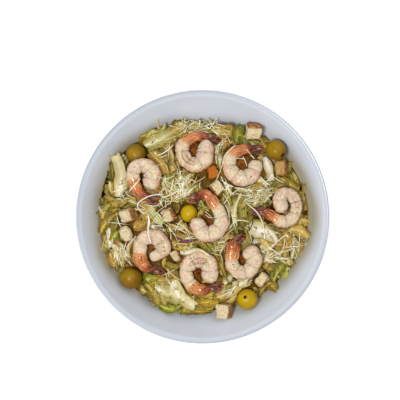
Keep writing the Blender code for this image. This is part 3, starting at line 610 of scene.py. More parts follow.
def glazed_ceramic(nodes):
    """White glaze with a cool cast, a grey band of painted shade along the top of the lip, painted shade
    warmed by a painted reflection of the leaves on the wall beside the salad, and bare rough clay under the
    foot.
    """
    height = nodes.add("SeparateXYZ", {0: nodes.place}, "Z")
    flat = nodes.add("VectorMath", {0: nodes.place, 1: (1, 1, 0)}, operation="MULTIPLY")
    radius = nodes.add("VectorMath", {0: flat}, "Value", operation="LENGTH")
    # Painted shade: a grey band along the top of the lip.
    rise = nodes.span(radius, BOWL_RADIUS - 5.2 * MM, BOWL_RADIUS - 1.6 * MM)
    fall = nodes.span(radius, BOWL_RADIUS + 0.2 * MM, BOWL_RADIUS - 0.6 * MM)
    high = nodes.span(height, BOWL_HEIGHT - 4.5 * MM, BOWL_HEIGHT - 2.5 * MM)
    glaze = nodes.layered(
        nodes.blend(nodes.mottle(26, 0.9), (206, 213, 226), (213, 219, 230)),
        (nodes.times(nodes.times(rise, fall), high), (132, 136, 144), 0.7),
        # painted shade, warmed by a painted reflection of the leaves, on the wall beside the salad
        (nodes.attribute("wall_shade"), (142, 130, 88), 0.8),
        (nodes.specks(90, 0.05, 0.05), (170, 168, 164), 0.35),
    )
    clay = nodes.blend(nodes.mottle(900, 2), (196, 186, 170), (214, 206, 192))
    bare = nodes.maths("LESS_THAN", height, 0.5 * MM)
    gloss = nodes.maths("MULTIPLY_ADD", nodes.mottle(60, 0.6), 0.06, 0.2)
    rough = nodes.maths("MAXIMUM", gloss, nodes.times(bare, 0.8))
    nodes.surface(nodes.blend(bare, glaze, clay), rough, nodes.grain(120, 1), 0.12)


def wet_leaf(nodes):
    """A torn romaine leaf: its own tone, fibres along it, pale side veins, and dressing in shiny patches."""
    lay, tint = nodes.attribute("lay", "Vector"), nodes.attribute("tint", "Color")
    along = nodes.add("SeparateXYZ", {0: lay}, "X")
    slant = nodes.plus(along, nodes.maths("ABSOLUTE", along.node.outputs["Y"]))
    vein = nodes.power(nodes.maths("ABSOLUTE", nodes.maths("SINE", nodes.times(slant, 1.3))), 10)
    streaks = nodes.use(FIBRES, lay, 0.6, 3.8)
    greenness = nodes.less(1, nodes.add("SeparateColor", {0: tint}, 2), clamp=True)
    shaded = nodes.tinted(tint, (180, 132, 64))
    leaf = nodes.layered(
        tint,
        (nodes.times(nodes.mottle(110, 2.6), greenness), shaded, 0.7),
        (nodes.times(streaks, greenness), nodes.blend(0.5, tint, (242, 228, 116)), 0.44),
    )
    leaf = nodes.blend(nodes.mottle(380, 3.4), leaf, nodes.tinted(leaf, (176, 150, 100)), 0.14)
    leaf = nodes.blend(vein, leaf, (222, 208, 112), 0.28)
    wet = nodes.mottle(160, 3)
    relief = nodes.plus(nodes.grain(420, 1), nodes.plus(vein, streaks))
    nodes.surface(leaf, nodes.greys(wet, 0.18, 0.5), relief, 0.25, nodes.times(nodes.less(1, wet), 0.1))


def leafy_core(nodes):
    """What shows between the leaves: a deep tone darkened as painted shade, in random darker patches, with
    lighter scraps.
    """
    tint = nodes.attribute("tint", "Color")
    scraps = nodes.mottle(480, 3.4)
    ground = nodes.blend(nodes.mottle(200, 2.8), nodes.tinted(tint, (150, 120, 84)), tint)
    ground = nodes.blend(scraps, ground, (180, 140, 60), 0.25)
    nodes.surface(ground, nodes.greys(scraps, 0.35, 0.7), nodes.grain(500, 1.5), 0.5)


def cooked_shrimp(nodes):
    """Cream and pink flesh with fibres across it, browned along the back, with painted shade in its folds;
    orange shell, dark by the fan, with painted glints as pale streaks.
    """
    lay = nodes.attribute("lay", "Vector")
    along = nodes.add("SeparateXYZ", {0: lay}, "X")
    crosswise = nodes.add("CombineXYZ", {"X": along.node.outputs["Y"], "Y": along})
    muscle = nodes.use(FIBRES, crosswise, 1.5, 3.4)
    streaks = nodes.use(FIBRES, lay, 1.3, 4.2)
    cloud = nodes.mottle(520, 3.2)
    blush = nodes.mottle(150, 3.4)
    flesh = nodes.layered(
        nodes.ramp(blush, (0, (212, 200, 150)), (0.5, (216, 196, 166)), (1, (208, 172, 150))),
        (cloud, (248, 242, 230), 0.5),
        (muscle, (200, 152, 106), 0.34),
        (nodes.times(nodes.attribute("back"), nodes.mottle(230, 4)), (206, 116, 58), 0.6),
        # darker in the slit, and painted shade along its edges and in the folds
        (nodes.attribute("cut_shade"), (150, 84, 36), 0.85),
    )
    zone = nodes.plus(nodes.attribute("zone"), nodes.times(nodes.less(streaks, 0.5), 0.04))
    shell = nodes.ramp(
        zone, (0.5, (224, 174, 122)), (0.55, (230, 160, 94)), (0.68, (212, 122, 54)), (0.78, (160, 58, 10)),
        (0.86, (104, 24, 4)), (0.94, (66, 14, 6)), (1, (176, 74, 14)),
    )
    shell = nodes.layered(
        shell,
        (nodes.power(nodes.less(1, streaks), 2), (66, 16, 2), 0.8),
        # painted glints: pale streaks on the shell
        (nodes.power(streaks, 6), (246, 184, 136), 0.6),
    )
    is_shell = nodes.ramp(zone, (0.5, 0), (0.53, 1))
    whole = nodes.layered(
        flesh,
        (is_shell, shell, 1),
        (nodes.specks(520, 0.26, 0.12), (182, 110, 58), 0.55),
        (nodes.specks(430, 0.2, 0.13), (62, 44, 22), 0.8),
    )
    relief = nodes.plus(nodes.plus(nodes.grain(600, 2.2), streaks), muscle)
    nodes.surface(whole, nodes.greys(cloud, 0.14, 0.4), relief, 0.35, nodes.times(is_shell, 0.6))


def green_olive(nodes):
    """Yellow-olive skin with soft clouds and pale pinpoints, brighter on one side as painted light, and its
    pit hole painted dark as shade.
    """
    cloud = nodes.mottle(120, 1.8)
    deep = nodes.blend(cloud, (96, 66, 0), (122, 86, 0))
    bright = nodes.blend(cloud, (156, 124, 0), (188, 156, 8))
    skin = nodes.layered(
        deep,
        # painted light: brighter on the side that faces the light, over each olive's own tone
        (nodes.attribute("ripe_and_lit"), bright, 1),
        (nodes.specks(700, 0.16, 0.3), (206, 182, 70), 0.25),
        # painted shade in the pit hole and the star groove
        (nodes.attribute("cut_shade"), (54, 40, 8), 1),
    )
    nodes.surface(skin, nodes.greys(cloud, 0.26, 0.36), nodes.grain(500, 2), 0.1)


def toasted_bread(nodes):
    """Cream crumb with open pores painted darker as shade, browned at the edges, and one side of dark crust.
    """
    toast, cloud = nodes.attribute("toast"), nodes.mottle(420, 2.2)
    pores = nodes.specks(620, 0.34, 0.5)
    pale = nodes.times(nodes.less(1, cloud), 0.45)
    bread = nodes.layered(
        nodes.blend(cloud, (208, 198, 166), (190, 168, 124)),
        # painted shade in the pores
        (pores, (150, 106, 56), 0.5),
        (nodes.less(toast, pale, clamp=True), (156, 112, 48), 1),
        (nodes.less(toast, nodes.plus(pale, 1), clamp=True), (172, 98, 34), 1),
        (nodes.attribute("crust"), nodes.blend(nodes.mottle(700, 4), (84, 46, 18), (196, 140, 86)), 1),
    )
    nodes.surface(bread, nodes.greys(cloud, 0.7, 0.95), nodes.less(nodes.grain(900, 1.2), pores), 0.3)


def grated_cheese(nodes):
    """Hard cheese, each shred in its own tone from white to cream, with a crumbly surface."""
    tint, cloud = nodes.attribute("tint", "Color"), nodes.mottle(300, 3)
    cheese = nodes.blend(cloud, tint, nodes.tinted(tint, (214, 200, 150)), 0.6)
    nodes.surface(cheese, nodes.greys(cloud, 0.3, 0.55), nodes.grain(1600, 1), 0.12)


def red_onion(nodes):
    cloud = nodes.mottle(420, 2.4)
    wine = nodes.blend(cloud, WINE, (148, 84, 112))
    nodes.surface(wine, nodes.greys(cloud, 0.25, 0.4), nodes.grain(900, 1), 0.1)


def herb_and_pepper(nodes):
    cloud = nodes.mottle(70, 5)
    nodes.surface(nodes.blend(cloud, (40, 44, 12), (58, 38, 20)), nodes.greys(cloud, 0.5, 0.8))


def plain_floor(nodes):
    nodes.surface(nodes.blend(nodes.mottle(3, 0.5), (246, 246, 246), (250, 250, 250)))


# The bowl.


def wall_curve(floor, radius, full_radius):
    return floor + (BOWL_HEIGHT - floor) * (radius / full_radius) ** WALL_POWER


def wall_height(radius):
    """Height of the bowl's inner face at this distance from the axis."""
    return wall_curve(INNER_FLOOR, np.minimum(radius, INNER_RADIUS), INNER_RADIUS)


def stations(start, end, number):
    return [mix(start, end, (i / number) ** 0.75) for i in range(number + 1)]


def lip_slope():
    """Points from the lip's crest down its inner side, which runs over into the wall without a corner."""
    reach = BOWL_RADIUS - LIP_ROUNDING - LIP_START
    foot = wall_curve(INNER_FLOOR, LIP_START, INNER_RADIUS)
    steepness = WALL_POWER * (foot - INNER_FLOOR) / LIP_START * reach
    points = []
    for step in range(2 * LIP_STEPS - 1, -1, -1):
        t = step / (2 * LIP_STEPS)
        rise = smooth_step(t) * (BOWL_HEIGHT - foot) + steepness * (t**3 - 2 * t**2 + t)
        points.append((LIP_START + t * reach, foot + rise))
    return points


def bowl_profile():
    """Points (radius, height) from the middle of the underside round the rim to the middle of the floor."""
    soft = FOOT_ROUNDING
    points = [(0, FOOT_RECESS), (20 * MM, FOOT_RECESS), (FOOT_INNER - 2 * MM, FOOT_RECESS)]
    points += [(FOOT_INNER - soft, soft), (FOOT_INNER, 0), (FOOT_OUTER - soft, 0), (FOOT_OUTER, soft / 2)]
    for r in stations(FOOT_OUTER + 2 * MM, BOWL_RADIUS, 26):
        drop = LIP_DROP * smooth_step((r / BOWL_RADIUS - 0.7) / 0.3)
        points.append((r, wall_curve(OUTER_BASE, r, BOWL_RADIUS) - drop))
    for step in range(LIP_STEPS + 1):
        angle = math.pi / 2 * step / LIP_STEPS
        across, up = LIP_ROUNDING * math.cos(angle), LIP_ROUNDING * math.sin(angle)
        points.append((BOWL_RADIUS - LIP_ROUNDING + across, BOWL_HEIGHT - LIP_ROUNDING + up))
    points += lip_slope()
    points += [(r, wall_curve(INNER_FLOOR, r, INNER_RADIUS)) for r in stations(8 * MM, LIP_START, 34)[-2::-1]]
    return points + [(0, INNER_FLOOR)]


def make_bowl():
    bm = turned(bowl_profile(), BOWL_SEGMENTS)
    # Painted shade, warmed by a painted reflection of the leaves, on the inner wall just past the bed's edge,
    # strongest at the left and right.
    wall_shade = bm.verts.layers.float.new("wall_shade")
    for vertex in bm.verts:
        radius = vertex.co.xy.length
        if abs(vertex.co.z - float(wall_height(radius))) < 0.5 * MM:
            angle = math.atan2(vertex.co.y, vertex.co.x)
            past_edge = radius - float(bed_edge(angle))
            shade_strength = (0.3 + 0.85 * abs(math.cos(angle))) * (1 + 0.5 * lumps(vertex.co, 30))
            vertex[wall_shade] = min(1, float(smooth_step(1 - past_edge / WALL_SHADE_WIDTH)) * shade_strength)
    serve(piece_from(bm, "glazed_bowl", finish("white_glaze", glazed_ceramic), sharp=40), "bowl", "bowl")


# The bed's height, and the map of heights that everything is laid on.


def bed_edge(angle):
    """Distance of the bed's uneven edge from the axis."""
    wave = 0.6 * np.sin(3 * angle + 0.8) + 0.4 * np.sin(7 * angle + 2)
    return BED_RADIUS + EDGE_OVAL * np.cos(2 * angle) + EDGE_WAVE * wave


def bed_height(x, y):
    dome = BED_EDGE + (BED_TOP - BED_EDGE) * (1 - (math.hypot(x, y) / BED_RADIUS) ** BED_POWER)
    return dome + BUMP_HEIGHT * lumps(Vector((x, y, 0)), 1 / BUMP_LENGTH, z=0.3)


def core_relief(x, y):
    """Crumpled ridges, as of leaves that lie deeper."""
    place = Vector((x, y, 0))
    bend = lumps(place, 60, z=4)
    ridge = 1 - abs(lumps(place, 170, bend, -bend, 1.7)) * 2
    return CORE_RELIEF * (ridge - 0.6 + 0.35 * lumps(place, 480, z=9))


def bed_tilt(x, y, share):
    """The rotation that turns +Z by a share of the dome's own slope."""
    radius = math.hypot(x, y)
    slope = BED_POWER * (BED_TOP - BED_EDGE) / BED_RADIUS * (radius / BED_RADIUS) ** (BED_POWER - 1)
    normal = Vector((x / radius * slope * share, y / radius * slope * share, 1))
    return UP.rotation_difference(normal.normalized()).to_matrix()


def spread_low(low, cells):
    """Each cell takes the lowest value within so many cells."""
    for _ in range(cells):
        low = np.minimum.reduce([low] + [np.roll(low, way, axis) for axis in (0, 1) for way in (1, -1)])
    return low


class Ground:
    """Heights on a fine grid: the top of what is laid so far, and the space that the toppings take."""

    def __init__(self, toppings):
        steps = np.arange(-HALF_GRID, HALF_GRID, CELL) + CELL / 2
        self.x, self.y = np.meshgrid(steps, steps, indexing="ij")
        self.low = np.full(self.x.shape, np.inf)
        self.high = np.full(self.x.shape, -np.inf)
        for topping in toppings:
            self.take(topping)
        self.top = self.bare_bed()

    def take(self, topping):
        """Notes the space between a topping's underside and its top."""
        points = [v.co for v in topping.data.vertices]
        tree = BVHTree.FromPolygons(points, [tuple(p.vertices) for p in topping.data.polygons])
        corners = np.array(points)
        (i0, j0), (i1, j1) = self.cell(*corners.min(0)[:2]), self.cell(*corners.max(0)[:2])
        for i in range(i0, i1 + 1):
            for j in range(j0, j1 + 1):
                x, y = self.x[i, j], self.y[i, j]
                above = tree.ray_cast(Vector((x, y, RAY_START)), -UP)[0]
                if above:
                    below = tree.ray_cast(Vector((x, y, -RAY_START)), UP)[0]
                    self.high[i, j] = max(self.high[i, j], above.z)
                    self.low[i, j] = min(self.low[i, j], below.z)

    def bare_bed(self):
        """The core's surface: a crumpled dome, down to the wall at its edge and pressed under toppings."""
        inwards = bed_edge(np.arctan2(self.y, self.x)) - np.hypot(self.x, self.y)
        wall = wall_height(np.hypot(self.x, self.y))
        dome = wall.copy()
        for i, j in np.argwhere(inwards > 0):
            x, y = self.x[i, j], self.y[i, j]
            eased = min(1, 0.3 + 0.5 * hole_distance(x, y))
            dome[i, j] = bed_height(x, y) - CORE_DEPTH + core_relief(x, y) * eased
        lowest = wall + CORE_GAP
        bed = np.maximum(lowest, mix(lowest, dome, smooth_step(inwards / EDGE_SLOPE)))
        pressed = np.minimum(bed, spread_low(self.low, 3) - 0.5 * MM)
        return np.where(inwards > 0, np.maximum(pressed, lowest), wall)

    def cell(self, *place):
        steps = (np.floor((np.asarray(p) + HALF_GRID) / CELL).astype(int) for p in place)
        return tuple(np.clip(step, 0, len(self.x) - 1) for step in steps)

    def at(self, x, y):
        return self.top[self.cell(x, y)]

    def cover_toppings(self):
        """From now on things may lie on the toppings too."""
        self.top = np.maximum(self.top, self.high)

    def is_clear(self, x, y, z):
        """Whether nearly all points keep out of the toppings."""
        place = self.cell(x, y)
        inside = (z > self.low[place] - CLEAR_GAP) & (z < self.high[place] + CLEAR_GAP)
        return inside.mean() <= CLEAR_SHARE

    def is_open(self, x, y):
        """Whether no topping covers any of the points."""
        return not (self.high[self.cell(x, y)] > 0).any()

    def raise_to(self, x, y, z):
        np.maximum.at(self.top, self.cell(x, y), z)


def hole_distance(x, y):
    """Distance to the nearest hole in a coil, as a share of how far such a hole reaches."""
    return np.min([np.hypot(x / MM - hx, y / MM - hy) for hx, hy in HOLES], axis=0) / HOLE_REACH


def nearest_tone(x, y):
    spots = [((a - x) ** 2 + (b - y) ** 2, tone) for tone, places in TONE_SPOTS.items() for a, b in places]
    return min(spots)[1]


def shaded_core_tone(x, y):
    """The core's colour, as painted shade between the leaves: the margin of the leaf that lies there with
    dark rust, lighter near the wall; rust as painted shade in the coils of the shrimps.
    """
    if hole_distance(x * MM, y * MM) < 1:
        return linear(TONES["rust"][0])
    blade, _, margin = (linear(tone) for tone in TONES[nearest_tone(x, y)])
    by_wall = float(smooth_step((math.hypot(x, y) - 84) / 12))
    rust = linear(TONES["rust"][2])
    return [mix(mix(a, b, 0.35), c, by_wall) for a, b, c in zip(margin, rust, blade)]


def make_core(ground):
    """The bed's own body, closed below along the bowl's wall."""
    under = [(BED_RADIUS * i / UNDER_RINGS, 0) for i in range(UNDER_RINGS)]
    over = [(BED_RADIUS * (1 - (1 - i / CORE_RINGS) ** 1.4), 1) for i in range(CORE_RINGS, -1, -1)]
    bm = turned(under + over, CORE_SEGMENTS)
    tint = bm.verts.layers.float_color.new("tint")
    for vertex in bm.verts:
        on_top = vertex.co.z > 0.5
        flat = vertex.co.xy * float(bed_edge(math.atan2(vertex.co.y, vertex.co.x))) / BED_RADIUS
        wall = float(wall_height(flat.length)) + CORE_GAP
        vertex.co = (*flat, max(wall, float(ground.at(*flat))) if on_top else wall)
        # The core's tint is the leaf's tone darkened as painted shade.
        vertex[tint] = (*shaded_core_tone(flat.x / MM, flat.y / MM), 1)
    serve(piece_from(bm, "leafy_bed", finish("leaf_in_painted_shade", leafy_core, Specular_IOR_Level=0.05)), BED, BED)


def drape(floor, rounds, ends, sag=0):
    """A line that lies on the high spots of the floor and bridges the dips between them."""
    line = floor.copy()
    for _ in range(rounds):
        eased = line.copy()
        eased[1:-1] = (line[:-2] + line[2:]) / 2 - sag
        eased[0], eased[-1] = mix(line[0], line[1], ends), mix(line[-1], line[-2], ends)
        line = np.maximum(floor, eased)
    return line


# Leaves.


def net(along, across, far=1):
    """Places s and t on a sheet, from -1 to 1 along it and across it."""
    return np.meshgrid(np.linspace(-1, 1, along), np.linspace(-far, far, across), indexing="ij")


class Sheet:
    """A torn leaf as a surface over s along it and t across it, both from -1 to 1."""

    dark_margin = 0.8
    bite = LEAF_BITE
    pale_side = 0
    crumple = 0

    def __init__(self, rule, x, y, heading, length, width, curl, lift, narrowing, ruffle=0.5, roundness=0.5):
        self.spot = (x * MM, y * MM)
        self.way = (math.cos(math.radians(heading)), math.sin(math.radians(heading)))
        self.length, self.width = length * MM, width * MM
        self.curl, self.lift, self.narrowing = curl * MM, lift * MM, narrowing
        self.ruffle, self.roundness = ruffle * MM, roundness
        self.phase = [rule.uniform(0, math.tau) for _ in range(8)]
        self.bend = rule.uniform(-0.15, 0.15)

    def flat(self, s, t):
        """Place in plan."""
        p = self.phase
        narrow = 1 - self.narrowing * smooth_step((s + 1) / 2)
        edge = 1 + 0.1 * np.sin(4.1 * s + p[0]) + 0.04 * np.sin(11 * s + p[1] + t)
        half = self.width / 2 * np.sqrt(1 - self.roundness * s * s) * narrow * edge
        torn = 0.04 * self.length * (np.sin(2.3 * t + p[2]) + 0.4 * np.sin(6.1 * t + p[3])) * np.abs(s) ** 3
        along = s * self.length / 2 + torn
        across = t * half + self.bend * self.length * (s * s - 0.4)
        (x, y), (c, d) = self.spot, self.way
        return x + along * c - across * d, y + along * d + across * c

    def rest_on(self, ground):
        """Finds how the middle line lies."""
        self.base = drape(ground.at(*self.flat(*net(LINE_POINTS, 5, 0.6))).mean(1), 14, 0.5)

    def shape(self, s, t, ground):
        """Place in space."""
        p = self.phase
        x, y = self.flat(s, t)
        line = np.interp(s, np.linspace(-1, 1, LINE_POINTS), self.base)
        over = self.curl * t * t + self.lift * smooth_step((s - 0.1) / 0.9)
        edge = np.abs(t) ** 1.5 * (np.sin(7.5 * s + 1.5 * t + p[4]) + 0.5 * np.sin(15 * s + p[5]))
        over += self.ruffle * (edge + 0.35 * np.sin(6 * s + p[6]) * np.sin(4.4 * t + p[7]))
        if self.crumple:
            u, v = x / MM, y / MM
            folds = np.sin(1.5 * u + 2 * np.sin(0.8 * v + p[0]))
            over += self.crumple * folds * np.sin(1.3 * v + 2 * np.sin(0.7 * u + p[1]))
        return x, y, np.maximum(line + over, ground.at(x, y)) - self.bite

    def tint(self, tone, s, t, painted_shade_and_tone):
        """The leaf's colour: pale along the rib and at the base, deeper at the margin, times a factor of
        painted shade and tone.
        """
        blade, rib, margin = (np.array(linear(c)) for c in TONES[tone])
        margin_share = float(smooth_step((abs(t) - 0.55) / 0.45)) * self.dark_margin
        colour = mix(mix(blade, margin, margin_share), rib, bell(t, 0.22) * (0.75 - 0.35 * s))
        if tone == "striped":
            colour = mix(margin, rib, 0.5 + 0.5 * math.sin(11 * t + 0.8 * s))
        if self.pale_side:
            colour = mix(margin, rib, float(smooth_step((1 + t * self.pale_side) / 2)))
        drift = 1 + 0.16 * math.sin(3.1 * s + self.phase[0]) * math.sin(2.2 * t + self.phase[3])
        return np.clip(colour * drift * painted_shade_and_tone, 0, 1)


class Sheets:
    """A mesh of sheets of one kind."""

    def __init__(self):
        self.bm = bmesh.new()
        self.tint = self.bm.verts.layers.float_color.new("tint")
        self.lay = self.bm.verts.layers.float_vector.new("lay")

    def add(self, sheet, tone, ground, cuts, painted_shade_and_tone=1):
        """Adds the leaf's surface and raises the ground under what comes next."""
        made = grid(self.bm, cuts)
        s, t = np.array([v.co.xy for v in made]).T
        for k, (vertex, place) in enumerate(zip(made, zip(*sheet.shape(s, t, ground)))):
            vertex[self.tint] = (*sheet.tint(tone, s[k], t[k], painted_shade_and_tone), 1)
            vertex[self.lay] = (s[k] * sheet.length / MM / 2, t[k] * sheet.width / MM / 2, 0)
            vertex.co = place
        steps = max(8, int(sheet.length / CELL)), max(5, int(sheet.width / CELL))
        ground.raise_to(*sheet.shape(*net(*steps), ground))

    def serve(self, name, made_of, thickness, smooth=0):
        """Turns the sheets into a piece that is so thick."""
        obj = piece_from(self.bm, name, made_of, outwards=False)
        solid = obj.modifiers.new("thickness", "SOLIDIFY")
        solid.thickness = thickness
        solid.offset = 0
        if smooth:
            soft = obj.modifiers.new("soft", "SUBSURF")
            soft.levels = soft.render_levels = smooth
        serve(obj, BED, BED)


def try_sheet(sheet, ground, reach):
    """Rests the leaf on the ground and says whether it keeps out of the toppings."""
    sheet.rest_on(ground)
    x, y, z = sheet.shape(*net(15, 5), ground)
    limit = np.minimum(LEAF_LIMIT, bed_edge(np.arctan2(y, x)) + reach)
    inside = (z < BOWL_HEIGHT - 2 * MM) & (np.hypot(x, y) < limit) & (hole_distance(x, y) > 0.6)
    return inside.all() and ground.is_clear(x, y, z + LEAF_THICKNESS)


def strip_place(rule):
    """Where a strip lies and which way it points: anyhow in the middle, and along the edge beside it."""
    angle = rule.uniform(0, math.tau)
    share = rule.uniform(0.92, 1) if rule.random() < EDGE_STRIPS else math.sqrt(rule.random())
    radius = (float(bed_edge(angle)) / MM - 2.5) * share
    heading = rule.uniform(0, 360)
    if share > 0.86:
        heading = math.degrees(angle) + 90 + rule.uniform(-45, 45)
    return radius * math.cos(angle), radius * math.sin(angle), heading


def lay_strips(ground, leaf):
    """Shredded leaf all over the bed, toned by where it lies; the first strips, which lie deepest, get the
    most painted shade.
    """
    rule = random.Random(SEED)
    strips = Sheets()
    laid = 0
    for _ in range(STRIPS * 4):
        if laid == STRIPS:
            break
        x, y, heading = strip_place(rule)
        sheet = Sheet(
            rule, x, y, heading, rule.uniform(*STRIP_LENGTH), rule.uniform(*STRIP_WIDTH),
            curl=rule.uniform(-0.8, 2.4), lift=rule.uniform(0, 1.8), narrowing=rule.uniform(0, 0.5),
            ruffle=rule.uniform(0.3, 1.3), roundness=rule.uniform(0.1, 0.7),
        )
        sheet.dark_margin = rule.uniform(0, 0.6)
        sheet.bend *= STRIP_BEND
        sheet.pale_side = rule.choice((-1, 0, 0, 1))
        near = nearest_tone(x, y)
        share = 0.72 if near in DEEP_TONES and math.hypot(x, y) > DEEP_FROM else 0.5
        tone = near if rule.random() < share else rule.choice(COMMON_TONES)
        # Painted shade: strips laid early lie deep and are darkened, with a random spread of tone on top.
        painted_shade_and_tone = mix(*STRIP_PAINTED_SHADES, smooth_step(1.25 * laid / STRIPS)) * rule.uniform(0.84, 1.14)
        if try_sheet(sheet, ground, STRIP_REACH):
            strips.add(sheet, tone, ground, STRIP_CUTS, painted_shade_and_tone)
            laid += 1
    strips.serve("shredded_leaf", leaf, LEAF_THICKNESS)


def lay_leaves(ground, leaf):
    """The larger torn leaves and ribs, smaller where a topping is in the way."""
    rule = random.Random(SEED + 1)
    leaves, ribs = Sheets(), Sheets()
    for x, y, heading, length, width, curl, lift, narrowing, tone, *rib in LEAVES:
        for share in LEAF_SHARES:
            ruffle = 0.15 if rib else 0.6
            sheet = Sheet(rule, x, y, heading, length * share, width * share, curl, lift, narrowing, ruffle)
            if tone in CLEAN_TONES:
                sheet.bite = -LARGE_LEAF_LIFT
            sheet.crumple = 0 if rib else LEAF_CRUMPLE
            if try_sheet(sheet, ground, LEAF_REACH):
                (ribs if rib else leaves).add(sheet, tone, ground, LEAF_CUTS)
                break
    leaves.serve("torn_leaves", leaf, LEAF_THICKNESS, smooth=1)
    ribs.serve("white_ribs", leaf, RIB_THICKNESS, smooth=1)


# Cheese and onion.


def strand_line(ground, plan, radius):
    """A shred's points in space: on what is under it, over the dips."""
    x, y = np.array(plan).T
    return np.stack((x, y, drape(ground.at(x, y) + 0.7 * radius, 12, 0.4, 0.03 * MM)), 1)


def tapered(radius, number, ends):
    """Radii along a shred, with thinner ends."""
    radii = np.full(number, radius)
    radii[[0, -1]] *= ends
    return radii


def strands(name, lines, tones, made_of):
    """Thin shreds, each in its own tone, as one piece from curves with a four-sided section."""
    curve = bpy.data.curves.new(name, "CURVE")
    curve.dimensions = "3D"
    curve.bevel_depth = 1
    curve.bevel_resolution = 0
    curve.use_fill_caps = True
    for points, radii in lines:
        spline = curve.splines.new("POLY")
        spline.points.add(len(points) - 1)
        spline.points.foreach_set("co", np.c_[points, np.ones(len(points))].ravel())
        spline.points.foreach_set("radius", radii)
    shape = link(name, curve)
    mesh = bpy.data.meshes.new_from_object(shape.evaluated_get(bpy.context.evaluated_depsgraph_get()))
    bpy.data.objects.remove(shape)
    bpy.data.curves.remove(curve)
    tint = mesh.attributes.new("tint", "FLOAT_COLOR", "POINT")
    colours = [(*linear(tone), 1) for tone in tones]
    tint.data.foreach_set("color", np.repeat(colours, len(mesh.vertices) // len(lines), axis=0).ravel())
    mesh.materials.clear()
    mesh.materials.append(made_of)
    mesh.shade_smooth()
    serve(link(name, mesh), BED, BED)


def shred_plan(rule, x, y, heading, share):
    """A short bent line in plan round a place."""
    heading, length = math.radians(rule.gauss(heading, HEADING_SPREAD)), share * rule.uniform(*SHRED_LENGTH)
    s = np.linspace(-1, 1, SHRED_POINTS)
    along, across = s * length / 2, rule.uniform(-SHRED_BEND, SHRED_BEND) * length * (1 - s * s)
    c, d = math.cos(heading), math.sin(heading)
    return (x + along * c - across * d) * MM, (y + along * d + across * c) * MM


def lay_cheese(ground, cheese):
    """Grated cheese in patches and loose; a shred that would lie on a topping is drawn again."""
    rule = random.Random(SEED + 2)
    lines = []
    places = []
    for x, y, half_length, half_width, number, heading in CHEESE_PATCHES:
        for _ in range(number):
            spot = x + half_length * rule.uniform(-1, 1), y + half_width * rule.uniform(-1, 1)
            places.append((*spot, heading, PATCH_SHREDS))
    for _ in range(LOOSE_SHREDS):
        radius, angle = LOOSE_RADIUS * math.sqrt(rule.random()), rule.uniform(0, math.tau)
        places.append((radius * math.cos(angle), radius * math.sin(angle), rule.uniform(0, 360), 1))
    for place in places:
        for _ in range(SHRED_DRAWS):
            x, y = shred_plan(rule, *place)
            in_hole = hole_distance(x, y).min() < 0.8
            if in_hole or not ground.is_open(x, y) or np.hypot(x, y).max() > SHRED_LIMIT:
                continue
            radius = SHRED_RADIUS * rule.uniform(0.65, 1.3)
            line = strand_line(ground, np.stack((x, y), 1), radius)
            lines.append((line, tapered(radius, SHRED_POINTS, 0.45)))
            ground.raise_to(line[:, 0], line[:, 1], line[:, 2] + radius * 0.5)
            break
    strands("grated_cheese", lines, [rule.choice(CHEESE_TONES) for _ in lines], cheese)


def lay_shavings(ground, cheese):
    """Thin cheese shavings draped over what is there."""
    rule = random.Random(SEED + 5)
    shavings = Sheets()
    for row in SHAVINGS:
        sheet = Sheet(rule, *row, 0, 0.1, ruffle=0.3, roundness=0.8)
        sheet.rest_on(ground)
        shavings.add(sheet, "white", ground, SHAVING_CUTS)
    shavings.serve("cheese_shavings", cheese, LEAF_THICKNESS, smooth=1)


def smooth_plan(points, number):
    path = curve_through([Vector((x * MM, y * MM, 0)) for x, y in points], number)[0]
    return [p.xy for p in path]


def lay_long_shreds(ground, cheese):
    lines = []
    for half, _, *points in LONG_SHREDS:
        line = strand_line(ground, smooth_plan(points, LONG_SHRED_POINTS), half * MM)
        lines.append((line, tapered(half * MM, LONG_SHRED_POINTS, 0.4)))
    strands("long_shreds", lines, [CHEESE_TONES[tone] for _, tone, *_ in LONG_SHREDS], cheese)


def lay_onion(ground):
    line = strand_line(ground, smooth_plan(ONION, ONION_POINTS), 1.2 * MM)
    ends = np.sin(np.linspace(0.06, math.pi - 0.06, ONION_POINTS)) ** 0.6
    strands("red_onion", [(line, 1.5 * MM * ends)], [WINE], finish("wine_red", red_onion))


# Toppings.


def curve_through(points, number):
    """Points (x, y, half width) at even steps in plan on a smooth curve through others, and its length."""
    ends = [2 * points[0] - points[1]] + points + [2 * points[-1] - points[-2]]
    fine = []
    for a, b, c, d in zip(ends, ends[1:], ends[2:], ends[3:]):
        square = 2 * a - 5 * b + 4 * c - d
        cube = 3 * b - a - 3 * c + d
        for t in (step / 12 for step in range(12)):
            fine.append(0.5 * (2 * b + (c - a) * t + square * t**2 + cube * t**3))
    fine.append(points[-1])
    lengths = [0]
    for a, b in zip(fine, fine[1:]):
        lengths.append(lengths[-1] + (b - a).xy.length)
    curve, k = [], 0
    for i in range(number):
        goal = lengths[-1] * i / (number - 1)
        while k < len(fine) - 2 and lengths[k + 1] < goal:
            k += 1
        share = (goal - lengths[k]) / (lengths[k + 1] - lengths[k])
        curve.append(fine[k].lerp(fine[k + 1], share))
    return curve, lengths[-1]


class Route:
    """A shrimp's middle line in plan, read by shares of its length."""

    def __init__(self, points):
        self.path, self.length = curve_through([Vector(point) * MM for point in points], ROUTE_STEPS + 1)
        start, bend, middle = (self.path[k * ROUTE_STEPS // 4].xy for k in range(3))
        self.way = 1 if (bend - start).cross(middle - bend) > 0 else -1

    def at(self, u):
        """The place, the outward direction and the half width."""
        k = min(ROUTE_STEPS, max(0, round(ROUTE_STEPS * u)))
        along = (self.path[min(k + 5, ROUTE_STEPS)] - self.path[max(k - 5, 0)]).xy.normalized()
        return self.path[k].xy.to_3d(), Vector((along.y, -along.x, 0)) * self.way, self.path[k].z


